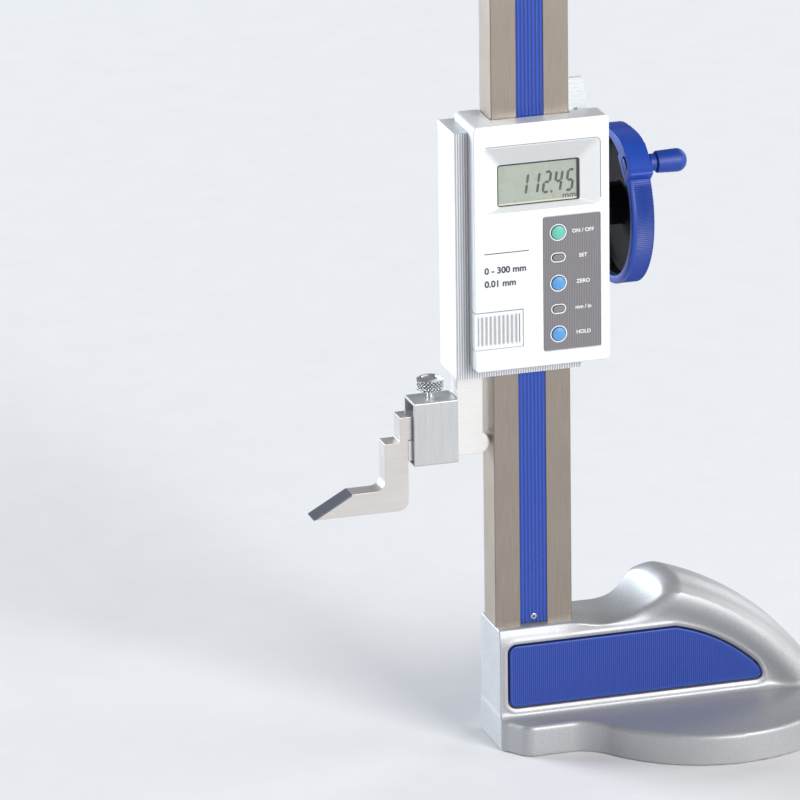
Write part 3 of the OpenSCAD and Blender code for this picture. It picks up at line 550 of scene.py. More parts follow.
def rim(along, radius, edge, way):
    """Quarter-round end of a lathe profile, from the flat end face (way -1) or towards it (way +1)."""
    inset, rise = quarter_round(edge)
    pairs = np.column_stack([along - way * rise, radius - inset])
    return pairs[::-way] if way > 0 else pairs

def drum(low, high, radius, edge):
    """Lathe profile of a plain drum with rounded rims."""
    return np.concatenate([rim(low, radius, edge, -1), rim(high, radius, edge, 1)])

# %% [markdown]
# ## Castings as distances
#
# A casting has fillets everywhere, and no single grid fits it. It can be described by a distance instead:
# a formula that is negative inside the metal and positive outside. Two solids are joined with the smaller
# distance and cut with the larger, and a rounded minimum or maximum leaves a fillet. The surface is then
# found on a grid: every cell that the surface passes through gets one point, and every grid edge that it
# crosses gets a face between the four cells round it. Last, the points slide along the slope of the
# distance until they lie on the surface.

# %% Rounded joins and cuts
def round_max(a, b, radius):
    """Common part of two solids, its edge rounded: a quarter circle where both distances are small."""
    return np.minimum(-radius, np.maximum(a, b)) + np.hypot(np.maximum(radius + a, 0),
                                                             np.maximum(radius + b, 0))

def round_min(a, b, radius):
    """Union of two solids, with a fillet in the corner between them."""
    return -round_max(-a, -b, radius)

def between(value, low, high):
    """Distance to a layer between two planes: the larger of the distances past either."""
    return np.maximum(low - value, value - high)

def ease(share):
    """S-curve from 0 to 1: the share squared, times three less twice the share."""
    return share * share * (3 - 2 * share)

def box_distance(u, v, u0, u1, v0, v1, radius):
    """Distance to a rectangle with rounded corners."""
    across = np.abs(u - (u0 + u1) / 2) - (u1 - u0) / 2 + radius
    upward = np.abs(v - (v0 + v1) / 2) - (v1 - v0) / 2 + radius
    beside = np.hypot(np.maximum(across, 0), np.maximum(upward, 0))
    return beside + np.minimum(np.maximum(across, upward), 0) - radius

# %% Grid lines
def gather(low, high, step, fine, reach, marks):
    """Grid lines that lie `step` apart, and close up to `fine` within reach of a mark."""
    place = np.linspace(low, high, 8000)
    closest = np.min(np.abs(place[:, None] - np.array(marks)[None, :]), axis=1)
    gap = np.clip(fine + 0.4 * (closest - reach), fine, step)
    count = np.concatenate([[0], np.cumsum(np.diff(place) / gap[1:])])
    return np.interp(np.linspace(0, count[-1], math.ceil(count[-1]) + 1), count, place)

def grid_round(low, high, *settings):
    """Gathered lines along X, Y and Z, from a millimetre below a box to a millimetre above it. Each axis has
    its step, fine step, reach and marks."""
    return [gather(a - 1, b + 1, *setting) for a, b, setting in zip(low, high, settings)]

# %% Finding the surface
NUDGE = 0.02
LONGEST_SLIDE = 0.4

def slope_of(distance, points):
    """How fast the distance grows along each axis, from two nearby values."""
    shift = np.eye(3) * NUDGE
    return np.stack([(distance(*(points + s).T) - distance(*(points - s).T)) / (2 * NUDGE) for s in shift],
                    axis=1)

def find_surface(distance, xs, ys, zs, slides=4):
    """Points, quads and normals of the surface where a distance is zero."""
    lines = (xs, ys, zs)
    value = distance(*np.meshgrid(xs, ys, zs, indexing="ij"))
    cells = tuple(len(line) - 1 for line in lines)
    total, hits, quads = np.zeros((3, np.prod(cells))), np.zeros(np.prod(cells)), []
    for axis in range(3):
        start = np.take(value, np.arange(cells[axis]), axis=axis)
        stop = np.take(value, np.arange(1, cells[axis] + 1), axis=axis)
        crossed = (start < 0) != (stop < 0)
        edge = np.argwhere(crossed)
        share = start[crossed] / (start[crossed] - stop[crossed])
        place = [line[edge[:, k]] for k, line in enumerate(lines)]
        place[axis] = place[axis] + share * np.diff(lines[axis])[edge[:, axis]]
        around = np.repeat(edge[:, None], 4, axis=1)
        around[:, :, (axis + 1) % 3] += np.array([-1, 0, 0, -1])
        around[:, :, (axis + 2) % 3] += np.array([-1, -1, 0, 0])
        cell = np.ravel_multi_index(around.reshape(-1, 3).T, cells)
        hits += np.bincount(cell, minlength=len(hits))
        total += [np.bincount(cell, np.repeat(p, 4), len(hits)) for p in place]
        quad = cell.reshape(-1, 4)
        outward = (start[crossed] < 0)[:, None]
        quads.append(np.where(outward, quad, quad[:, ::-1]))
    used = np.flatnonzero(hits)
    points = (total[:, used] / hits[used]).T
    for _ in range(slides):
        slope = slope_of(distance, points)
        steep = np.maximum(np.sum(slope ** 2, axis=1), 0.25)
        slide = (distance(*points.T) / steep)[:, None] * slope
        points = points - np.clip(slide, -LONGEST_SLIDE, LONGEST_SLIDE)
    return points, np.searchsorted(used, np.concatenate(quads)), slope_of(distance, points)

# %% From a distance to a piece
def carve(name, distance, lines, material, body, stands_for=(), shade=None):
    """A piece from a distance; the slope gives its shading normals. `shade` works out a groove value from
    the points and the normals, which the finish turns into painted shade."""
    points, quads, normals = find_surface(distance, *lines)
    mesh = bpy.data.meshes.new(name)
    mesh.from_pydata((points * MM).tolist(), [], quads.tolist())
    mesh.shade_smooth()
    normals /= np.maximum(np.linalg.norm(normals, axis=1, keepdims=True), 1e-9)
    mesh.normals_split_custom_set_from_vertices(normals.tolist())
    if shade is not None:
        groove = mesh.attributes.new("groove", "FLOAT", "POINT")
        groove.data.foreach_set("value", np.clip(shade(points, normals), 0, 1).astype(np.float32))
    return new_piece(name, mesh, material, body, stands_for)

# %% [markdown]
# ## The base
#
# The base is one iron casting under silver paint: a round foot with a straight nose, a web that carries
# the column, and a thick rail to hold it by, which leaves the web in a saddle and dips into the tail. It
# is the piece with the most fillets, so it is written as a distance. The plan of the foot is a nose and a
# circle with a hollow fillet between them; the web is a wall under an arc; the rail is a ring with a
# section that is flat on top and round at its sides. The saddle is an arc that tilts a little to one side,
# and its edge gets rounder towards the rail.

# %% Measures of the base
LEFT = span("base_casting")[0][0]
SEAT = span("column")[0][2]
FOOT_TOP, FOOT_HALF, FOOT_EDGE = 14.0, 26.0, 2.2
NOSE_RUN = 8.6
TAIL_X, TAIL_RADIUS, TAIL_FLARE = 78.6, 63.0, 9.0
WEB_HALF = 13.7
RAIL_X, RAIL_Z, RAIL_MIDDLE = 23.4, -51.0, 119.4
RAIL_ROUND, RAIL_FLAT, RAIL_SIDE = 8.9, 3.0, 14.0
SADDLE_X, SADDLE_Z, SADDLE_RADIUS = 31.0, 83.9, 30.0
SLOPE_START, SLOPE_DROP, SADDLE_TILT = 15.0, 1.1, 0.08
HORN_SKEW, SADDLE_SOFT, HORN_SOFT = 0.22, 0.8, 6.5
HORN_RUN, SOFT_START, SOFT_RUN = 18, 30, 28
RAIL_FILLET, FOOT_FILLET, BED_EDGE, UNDER_EDGE = 5.0, 3.5, 0.35, 0.6
SHOULDER_IN, SHOULDER_DOWN, SHOULDER_END, SHOULDER_FADE = 1.5, 4.5, 9.0, 0.011
BOLT_X, BOLT_BORE, BOLT_SEAT = 10.0, 5.3, 40.0
RELIEF_RADIUS, RELIEF_DEPTH = 43.0, 1.5

GRIP_LOW, GRIP_HIGH = span("front_grip")
GRIP_CORNER, GRIP_SEAM = 3.4, 0.7
GRIP_ARC_X, GRIP_ARC_Z, GRIP_ARC = 44.0, -30.0, 79.7
GRIP_BED = -GRIP_HIGH[1]
BEAD_RISE, BEAD_MIDDLE, BEAD_WIDTH = 0.4, 2.1, 0.9

def grip_distance(x, z):
    """Distance to the outline of a grip plate: a rectangle with round corners, whose top goes over into
    a large arc at the right."""
    arc = np.where(x > GRIP_ARC_X, np.hypot(x - GRIP_ARC_X, z - GRIP_ARC_Z) - GRIP_ARC, -GRIP_ARC)
    top = np.maximum(z - GRIP_HIGH[2], arc)
    ends = between(x, GRIP_LOW[0], GRIP_HIGH[0])
    return round_max(round_max(top, GRIP_LOW[2] - z, GRIP_CORNER), ends, GRIP_CORNER)

# %% Foot, web and rail
def foot_distance(x, y, z):
    """The foot: a nose with cut corners and a round tail, flared into each other, with a rounded edge."""
    beside = np.abs(y)
    lean = FOOT_HALF - WEB_HALF
    nose = (lean * (LEFT - x) + NOSE_RUN * (beside - WEB_HALF)) / math.hypot(lean, NOSE_RUN)
    straight = np.maximum(round_max(beside - FOOT_HALF, nose, 3.0), between(x, LEFT, TAIL_X))
    plan = round_min(straight, np.hypot(x - TAIL_X, y) - TAIL_RADIUS, TAIL_FLARE)
    return round_max(plan, z - FOOT_TOP, FOOT_EDGE)

def web_distance(x, y, z, seam):
    """The web: a wall under the rail's arc, with a sloped shoulder that fades out behind the column and a
    bead, a bell curve of the distance to the seam, round the grip."""
    beside = np.abs(y)
    bead = BEAD_RISE * np.exp(-((seam - BEAD_MIDDLE) / BEAD_WIDTH) ** 2)
    fade = SHOULDER_FADE * np.maximum(x - SHOULDER_END, 0) ** 2
    shoulder = SHOULDER_DOWN * (beside - WEB_HALF) + SHOULDER_IN * (z - SEAT + SHOULDER_DOWN)
    shoulder = shoulder / math.hypot(SHOULDER_DOWN, SHOULDER_IN) - fade
    arch = np.hypot(x - RAIL_X, z - RAIL_Z) - RAIL_MIDDLE
    return np.maximum(round_max(beside - WEB_HALF - bead, shoulder, 0.6), np.maximum(arch, LEFT - x))

def rail_distance(x, y, z):
    """The rail: a ring whose section is an ellipse with a flat on top. The ellipse's distance is its own
    ratio, made to grow evenly outwards."""
    radial = np.hypot(x - RAIL_X, z - RAIL_Z) - RAIL_MIDDLE
    beside = np.maximum(np.abs(y) - RAIL_FLAT, 0)
    ratio = np.hypot(radial / RAIL_ROUND, beside / RAIL_SIDE)
    growth = np.hypot(radial / RAIL_ROUND ** 2, beside / RAIL_SIDE ** 2)
    section = ratio * (ratio - 1) / np.maximum(growth, 1e-6)
    return np.maximum(section, SADDLE_X - x)

# %% The whole base
def base_distance(x, y, z):
    """Foot, web and rail with fillets, less the saddle, the grip beds and the hollows underneath. The seat
    dips in an S into the saddle's arc, which tilts sideways, and leans the more the higher it rises."""
    beside = np.abs(y)
    seam = grip_distance(x, z)
    solid = round_min(web_distance(x, y, z, seam), rail_distance(x, y, z), RAIL_FILLET)
    solid = round_min(solid, foot_distance(x, y, z), FOOT_FILLET)
    solid = round_max(solid, LEFT - x, 0.7)
    solid = round_max(solid, np.where(x > TAIL_X, np.hypot(x - TAIL_X, y) - TAIL_RADIUS, -9), 0.8)
    dip = np.clip((x - SLOPE_START) / (SADDLE_X - SLOPE_START), 0, 1)
    tilt = SADDLE_TILT * y
    line = SEAT + (tilt - SLOPE_DROP) * ease(dip)
    rise = np.clip((x - SADDLE_X) / HORN_RUN, 0, 1)
    lean = -HORN_SKEW * y * ease(rise)
    saddle = SADDLE_RADIUS - np.hypot(x - lean - SADDLE_X, z - tilt - SADDLE_Z)
    ramp = np.clip((x - SOFT_START) / SOFT_RUN, 0, 1)
    soft = SADDLE_SOFT + (HORN_SOFT - SADDLE_SOFT) * ease(ramp)
    solid = round_max(solid, np.where(x < SADDLE_X, z - line, saddle), soft)
    solid = round_max(solid, -np.maximum(seam - GRIP_SEAM, GRIP_BED - beside), BED_EDGE)
    bores = np.maximum(np.hypot(np.abs(x) - BOLT_X, y) - BOLT_BORE, z - BOLT_SEAT)
    relief = np.maximum(np.hypot(x - TAIL_X, y) - RELIEF_RADIUS, z - RELIEF_DEPTH)
    solid = np.maximum(solid, -np.minimum(bores, relief))
    return round_max(solid, -z, UNDER_EDGE)

# %% Base casting
base_lines = (
    gather(LEFT - 1, TAIL_X + TAIL_RADIUS + 1, 1.15, 0.4, 0.8, [LEFT]),
    gather(-TAIL_RADIUS - 1, TAIL_RADIUS + 1, 1.5, 0.4, 0.6,
           [-WEB_HALF, -GRIP_BED, GRIP_BED, WEB_HALF]),
    gather(-1, 80, 1.1, 0.4, 0.7, [0, FOOT_TOP, GRIP_LOW[2], GRIP_HIGH[2], SEAT]),
)
carve("base_body", base_distance, base_lines, SILVER, "base", ["base_casting"])

# %% [markdown]
# ## The grips
#
# A blue plastic plate lies in each side of the web, ribbed upright so that a hand doesn't slip. The ribs
# could be a bump in the material, but they show at the plate's edge, so they are real: the front of the
# plate is a grid whose depth is a cosine across it, and the ribs sink into a rolled edge at the outline.

# %% Ribbed plates
def ribbed_plate(front, behind):
    """Columns of front points from bottom to top, each closed by its two ends moved to the back."""
    ends = front[:, [-1, 0]]
    ends[:, :, 1] = behind
    return loft(np.concatenate([front, ends], axis=1))

def mirrored(share):
    """Shares from 0 to a half, followed by their mirror image up to 1."""
    return np.concatenate([share, 1 - np.array(share)[-2::-1]])

# %% Grip plates
RIB_PITCH, RIB_RISE, GRIP_ROLL = 0.92, 0.17, 0.8
GRIP_FACE = -GRIP_LOW[1]
GRIP_ENDS = np.array([0, 0.12, 0.3, 0.55, 0.85, 1.2])
GRIP_ROWS = mirrored([0, 0.008, 0.018, 0.03, 0.05, 0.09, 0.2, 0.35, 0.5])

def grip_shell(side):
    """Columns of points from the lower to the upper outline; each is closed by two points at the back."""
    middle = np.arange(GRIP_LOW[0] + 1.3, GRIP_HIGH[0] - 1.3, RIB_PITCH / 6)
    x = np.concatenate([GRIP_LOW[0] + GRIP_ENDS, middle, GRIP_HIGH[0] - GRIP_ENDS[::-1]])
    left = np.sqrt(np.maximum(GRIP_CORNER ** 2 - np.maximum(GRIP_LOW[0] + GRIP_CORNER - x, 0) ** 2, 0))
    right_end = np.sqrt(np.maximum(GRIP_CORNER ** 2
                                   - np.maximum(x - GRIP_HIGH[0] + GRIP_CORNER, 0) ** 2, 0))
    low = GRIP_LOW[2] + GRIP_CORNER - np.minimum(left, right_end)
    arc = GRIP_ARC_Z + np.sqrt(GRIP_ARC ** 2 - np.maximum(x - GRIP_ARC_X, 0) ** 2)
    high = np.minimum(GRIP_HIGH[2] - GRIP_CORNER + left, arc)
    high = np.maximum(high, low + 0.2)
    z = low[:, None] + (high - low)[:, None] * GRIP_ROWS
    across = np.repeat(x[:, None], len(GRIP_ROWS), axis=1)
    inside = np.clip(-grip_distance(across, z), 0, None)
    roll = GRIP_ROLL - np.sqrt(GRIP_ROLL ** 2 - np.clip(GRIP_ROLL - inside, 0, GRIP_ROLL) ** 2)
    ribs = RIB_RISE * (0.5 - 0.5 * np.cos(math.tau * across / RIB_PITCH))
    depth = GRIP_FACE - roll - ribs * np.clip((inside - 0.5) / 0.8, 0, 1)
    return ribbed_plate(np.stack([across, side * depth, z], axis=-1), side * GRIP_BED)

# painted shade: the groove value darkens the bottom of each rib and the rolled edge at the outline
for name, side, node in (("front_grip_plate", -1, "front_grip"), ("rear_grip_plate", 1, "rear_grip")):
    shell = grip_shell(side)
    make_piece(name, shell, GRIP, "base", [node],
               sunk=(GRIP_FACE - np.abs(shell[0][:, 1])) / RIB_RISE)

# %% [markdown]
# ## The column
#
# The column is a ground steel bar with a wide groove in front for the scale and a narrow one behind for
# the feed rack. It is a profile carried upwards. The rear groove starts a little above the base, so the
# same profile is used twice, with a groove that is almost flat and one that is deep. The sides get a
# groove value of -1, which paints light on them: they come out paler than the front, as a lit face.

# %% Column
COLUMN_LOW, COLUMN_HIGH = span("column")
RACK_LOW, RACK_HIGH = span("feed_rack")
COVER_LOW, COVER_HIGH = span("scale_cover")
SCALE_HIGH = span("main_scale")[1]
FIT = 0.05
REAR_GROOVE_START, FLAT_GROOVE = SEAT + 30, 0.12

def column_plan(rear_depth):
    """Outline of the column from above, counter-clockwise from its front left corner."""
    wide, deep = COLUMN_HIGH[0], COLUMN_HIGH[1]
    front_half, front_bed = COVER_HIGH[0] + FIT, SCALE_HIGH[1]
    rear_half = RACK_HIGH[0] + FIT
    corners = [(-wide, -deep), (-front_half, -deep), (-front_half, front_bed), (front_half, front_bed),
               (front_half, -deep), (wide, -deep), (wide, deep), (rear_half, deep),
               (rear_half, deep - rear_depth), (-rear_half, deep - rear_depth), (-rear_half, deep),
               (-wide, deep)]
    main, fine = 0.55, 0.04
    radii = [main, fine, fine, fine, fine, main, main, fine, fine, fine, fine, main]
    return soften(corners, radii, 5)

shallow, groove = column_plan(FLAT_GROOVE), column_plan(COLUMN_HIGH[1] - RACK_LOW[1])
column_shell = stacked([(shallow, COLUMN_LOW[2]), (shallow, REAR_GROOVE_START),
                        (groove, REAR_GROOVE_START), (groove, COLUMN_HIGH[2])], "z")
# painted light: both side faces of the column get -1, which the finish turns into a paler colour
painted_light_sides = np.abs(column_shell[0][:, 0]) > COLUMN_HIGH[0] - 0.001
make_piece("column_bar", column_shell, STEEL, "base", ["column"],
           sunk=np.where(painted_light_sides, -1.0, 0.0))

# %% [markdown]
# ## The scale cover
#
# The blue strip that protects the scale is an extruded plastic section with seven fine ridges along it.
# Its front is a row of rounded ridges, again a cosine, and the section is carried along the column. Two
# small screws hold its ends.

# %% Scale cover
RIDGES, RIDGE_PITCH, RIDGE_RISE = 7, 1.662, 0.34

def cover_plan():
    """Section of the strip: ridges in front from left to right, then the flat back."""
    half = COVER_HIGH[0]
    x = np.linspace(-half, half, 148)
    wave = 0.5 + 0.5 * np.cos(math.tau * x / RIDGE_PITCH)
    within = np.abs(x) < (RIDGES / 2) * RIDGE_PITCH
    front = COVER_LOW[1] + RIDGE_RISE * (1 - np.where(within, wave ** 1.6, 0))
    return np.concatenate([np.column_stack([x, front]), [(half, COVER_HIGH[1]), (-half, COVER_HIGH[1])]])

# painted shade: the finish darkens the strip between its ridges by the groove value
cover_shell = prism(cover_plan(), COVER_LOW[2], COVER_HIGH[2], "z")
make_piece("scale_cover_strip", cover_shell, STRIP, "base", ["scale_cover"], crease=50,
           sunk=(cover_shell[0][:, 1] - COVER_LOW[1]) / RIDGE_RISE)

# %% Screws of the scale cover
def hexagon(u, v, flat, count=48):
    """Ring of points on a hexagon: the flat's distance over the cosine of the angle to its middle."""
    angle = np.arange(count) * math.tau / count
    reach = flat / np.cos(angle % (math.pi / 3) - math.pi / 6)
    return [u, v] + reach[:, None] * rays(angle)

def socket_head(u, v, low, high, radius, flat, deep, axis, edge=0.3):
    """Screw head with a hexagon socket: rings up the side, over the rim, and down into the socket. With
    high below low the head looks the other way."""
    way = math.copysign(1, high - low)
    levels = [(circle(u, v, radius), low), (circle(u, v, radius), high - way * edge),
              (circle(u, v, radius - edge * 0.3), high - way * edge * 0.3),
              (circle(u, v, radius - edge), high), (hexagon(u, v, flat), high),
              (hexagon(u, v, flat), high - way * deep)]
    return stacked(levels, axis)

SCREW_INSET = 2.6
scale_screw_shells = [
    socket_head(0, z, COVER_HIGH[1], COVER_LOW[1] - 0.05, radius=1.42, flat=0.55, deep=0.5, axis="y",
                edge=0.25)
    for z in (COVER_LOW[2] + SCREW_INSET, COVER_HIGH[2] - SCREW_INSET)]
make_piece("scale_screw_heads", join(*scale_screw_shells), SCREW, "base", ["scale_screws"])

# %% [markdown]
# ## The column cap
#
# A flat cap closes the column and stops the slider from leaving it. It has two sunk holes for its screws,
# so it is carved as the base is.

# %% Cap and its screws
CAP_LOW, CAP_HIGH = span("column_cap")
CAP_SCREW_HIGH = span("cap_screws")[1]
SINK_FLOOR, SINK_RADIUS, SINK_HEAD = CAP_LOW[2] + 2.4, 3.0, 2.8

def cap_distance(x, y, z):
    """A plate with rounded edges and two sunk holes."""
    plan = box_distance(x, y, CAP_LOW[0], CAP_HIGH[0], CAP_LOW[1], CAP_HIGH[1], 1.4)
    plate = round_max(plan, between(z, CAP_LOW[2], CAP_HIGH[2]), 0.6)
    sunk = np.maximum(np.hypot(np.abs(x) - BOLT_X, y) - SINK_RADIUS, SINK_FLOOR - z)
    return round_max(plate, -sunk, 0.2)

cap_lines = grid_round(
    CAP_LOW, CAP_HIGH,
    (0.6, 0.3, 0.6, [CAP_LOW[0], CAP_HIGH[0]]),
    (0.6, 0.3, 0.6, [CAP_LOW[1], CAP_HIGH[1]]),
    (0.6, 0.25, 0.6, [CAP_LOW[2], SINK_FLOOR, CAP_HIGH[2]]),
)
carve("column_cap_plate", cap_distance, cap_lines, CAP, "base", ["column_cap"])
cap_heads = [socket_head(x, 0, SINK_FLOOR, CAP_SCREW_HIGH[2], SINK_HEAD, flat=1.4, deep=1.4, axis="z")
             for x in (-BOLT_X, BOLT_X)]
make_piece("cap_screw_heads", join(*cap_heads), BLACK, "base", ["cap_screws"])

# %% [markdown]
# ## The slider frame
#
# The slider frame is the block that rides on the column. Its front is covered with fine upright ribs,
# which show beside and below the housing, and its back has sunk holes for the screws that hold the jaw
# and the housing. The block is carved as a distance; the ribs are a section carried upwards, because a
# grid fine enough for them all over the block would be wasteful.

# %% Measures of the slider
FRAME_LOW, FRAME_HIGH = span("slider_frame")
FRAME_CORNER = 0.5
RUN = 0.15
HOLE_X, HOLE_Y = COLUMN_HIGH[0] + RUN, COLUMN_HIGH[1] + RUN
RACK_SLOT, RACK_SLOT_END = RACK_HIGH[0] + 0.6, RACK_HIGH[1] + 1.4
RIB_LEFT, RIB_RIGHT, RIB_BED = FRAME_LOW[0] + 0.45, FRAME_HIGH[0] - 1.4, FRAME_LOW[1] + 0.45
SHAFT_Y, SHAFT_Z = 17.0, 234.6
JAW_SCREW_X, JAW_SCREW_Z = -27.1, (176.3, 183.8)
POST_X, POST_Z = -24.4, (214.8, 276.8)
NOTCH_Z = (179.6, 241.5)
GIB_SCREW_Z = (187.8, 248.8)
JAW_HOLE, JAW_HOLE_DEEP, POST_HOLE, POST_HOLE_DEEP = 3.1, 3.2, 2.6, 2
NOTCH_IN, NOTCH_HALF, GIB_HOLE = 4.6, 2.6, 1.5
PORT_HALF_X, PORT_HALF_Z, TROUGH_RADIUS, TROUGH_LEFT = 5.6, 9.8, 5.3, -14

# %% Distance of the slider frame
def nearest(value, places):
    """Distance along one axis to the nearest of several places."""
    return np.min([np.abs(value - place) for place in places], axis=0)

def frame_distance(x, y, z):
    """A rounded block round the column, with the rib bed in front and sunk holes behind."""
    plan = box_distance(x, y, FRAME_LOW[0], FRAME_HIGH[0], FRAME_LOW[1], FRAME_HIGH[1], FRAME_CORNER)
    solid = round_max(plan, between(z, FRAME_LOW[2], FRAME_HIGH[2]), 0.5)
    bore = box_distance(x, y, -HOLE_X, HOLE_X, -HOLE_Y, HOLE_Y, 0.2)
    slot = np.maximum(np.abs(x) - RACK_SLOT, between(y, 0, RACK_SLOT_END))
    bed = np.maximum(between(x, RIB_LEFT, RIB_RIGHT), y - RIB_BED)
    jaw_holes = np.hypot(x - JAW_SCREW_X, nearest(z, JAW_SCREW_Z)) - JAW_HOLE
    jaw_holes = np.maximum(jaw_holes, FRAME_HIGH[1] - JAW_HOLE_DEEP - y)
    post_holes = np.hypot(x - POST_X, nearest(z, POST_Z)) - POST_HOLE
    notches = np.maximum(FRAME_HIGH[0] - NOTCH_IN - x, nearest(z, NOTCH_Z) - NOTCH_HALF)
    shallow_holes = np.maximum(np.minimum(post_holes, notches), FRAME_HIGH[1] - POST_HOLE_DEEP - y)
    gib_holes = np.maximum(np.hypot(y, nearest(z, GIB_SCREW_Z)) - GIB_HOLE, COLUMN_HIGH[0] - x)
    port = np.maximum(np.maximum(np.abs(x) - PORT_HALF_X, np.abs(z - SHAFT_Z) - PORT_HALF_Z), -y)
    trough = np.maximum(np.hypot(y - SHAFT_Y, z - SHAFT_Z) - TROUGH_RADIUS, TROUGH_LEFT - x)
    cuts = [bore, slot, bed, jaw_holes, shallow_holes, gib_holes, port, trough]
    return round_max(solid, -np.min(cuts, axis=0), 0.12)

# %% Slider frame
frame_lines = grid_round(
    FRAME_LOW, FRAME_HIGH,
    (0.9, 0.3, 0.5, [FRAME_LOW[0], RIB_LEFT, -HOLE_X, HOLE_X, FRAME_HIGH[0]]),
    (0.8, 0.3, 0.5, [FRAME_LOW[1], -HOLE_Y, 0, HOLE_Y, FRAME_HIGH[1]]),
    (1.0, 0.35, 0.6, [FRAME_LOW[2], *JAW_SCREW_Z, *GIB_SCREW_Z, FRAME_HIGH[2]]),
)
carve("slider_block", frame_distance, frame_lines, FRAME, "slider", ["slider_frame"])

# %% Ribs of the slider
FACING_PITCH, FACING_DEPTH = 1.1, 0.42

def facing_plan():
    """Section of the ribs: flat crowns with narrow rounded grooves between them, and a flat back."""
    x = np.arange(RIB_LEFT, RIB_RIGHT, FACING_PITCH / 10)
    wave = np.abs(np.cos(math.pi * (x - RIB_LEFT) / FACING_PITCH))
    groove = np.clip((wave - 0.62) / 0.30, 0, 1)
    front = FRAME_LOW[1] + FACING_DEPTH * ease(groove)
    behind = RIB_BED + 0.05
    return np.concatenate([np.column_stack([x, front]), [(x[-1], behind), (x[0], behind)]])

# painted shade: the grooves between the ribs are darkened by their depth
facing_shell = prism(facing_plan(), FRAME_LOW[2], FRAME_HIGH[2], "z")
make_piece("slider_ribs", facing_shell, FRAME, "slider", crease=50,
           sunk=(facing_shell[0][:, 1] - FRAME_LOW[1]) / FACING_DEPTH)

# %% [markdown]
# ## The display housing
#
# The housing is a painted shell in front of the frame. Round the readout its face falls away in four
# slopes, there is a shallow bed for the key panel, and the lower left corner is open for the battery
# cover. At the top a collar reaches back round the column. All of this is one distance, and the inside is
# hollow, as in the real one. A slope that looks down gets a groove value, which shades it.

# %% Measures of the housing
HOUSE_LOW, HOUSE_HIGH = span("display_housing")
HOUSE_CORNER, HOUSE_EDGE, WALL = 2.0, 0.5, 1.8
HOUSE_BACK, COLLAR_Z, OVER_BACK = FRAME_LOW[1], FRAME_HIGH[2] + 0.1, -5.0
INNER = HOUSE_LOW[1] + WALL
RECESS = (-24.3, 28.5, 246.0, 275.8)
WINDOW = (-16.7, 20.1, 248.2, 266.7)
WINDOW_FACE, WINDOW_CORNER, SLOPE_SOFT, PANEL_CORNER = -14.0, 1.0, 0.7, 1.0
READOUT_LOW, READOUT_HIGH = span("lcd_module")
PANEL_LOW, PANEL_HIGH = span("key_panel")
COVER_PLATE_LOW, COVER_PLATE_HIGH = span("battery_cover")
KEY_X = 9.4
ROUND_KEYS = {"power_key": 235.1, "zero_key": 212.3, "hold_key": 189.4}
OVAL_KEYS = {"set_key": 223.9, "unit_key": 200.7}
KEY_RADIUS, OVAL_HALF, OVAL_RADIUS, KEY_PLAY = 3.0, 1.2, 1.4, 0.2
CELL_X, CELL_Z, CELL_WELL = -17.5, 193.95, 6.3
BEZEL_WALL, CELL_WALL, BED_PLAY, COVER_PLAY, LIP_BACK = 1.4, 1.2, 0.1, 0.3, -11.6

# %% Key holes and hollow of the housing
def inside_box(x, z, bounds):
    """Distance to an upright rectangle, from (left, right, bottom, top)."""
    left, right_side, bottom, top = bounds
    return np.maximum(between(x, left, right_side), between(z, bottom, top))

def key_hole_distance(x, z, play):
    """Distance to the nearest key outline: circles, and ovals that are circles drawn out sideways."""
    rounds = np.hypot(x - KEY_X, nearest(z, list(ROUND_KEYS.values()))) - KEY_RADIUS
    sideways = np.maximum(np.abs(x - KEY_X) - OVAL_HALF, 0)
    ovals = np.hypot(sideways, nearest(z, list(OVAL_KEYS.values()))) - OVAL_RADIUS
    return np.minimum(rounds, ovals) - play

def funnel_distance(x, y, z):
    """The hollow round the readout: four planes from the recess outline down to the window, which run into
    each other softly."""
    depth = WINDOW_FACE - HOUSE_LOW[1]
    run = [inner - outer for outer, inner in zip(RECESS, WINDOW)]
    fall = (y - HOUSE_LOW[1]) / depth
    sides = [(RECESS[0] + run[0] * fall - x, run[0]), (x - RECESS[1] - run[1] * fall, run[1]),
             (RECESS[2] + run[2] * fall - z, run[2]), (z - RECESS[3] - run[3] * fall, run[3])]
    slopes = [side * depth / math.hypot(depth, width) for side, width in sides]
    soft = round_max(np.maximum(slopes[0], slopes[1]), np.maximum(slopes[2], slopes[3]), SLOPE_SOFT)
    return np.maximum(soft, y - WINDOW_FACE)

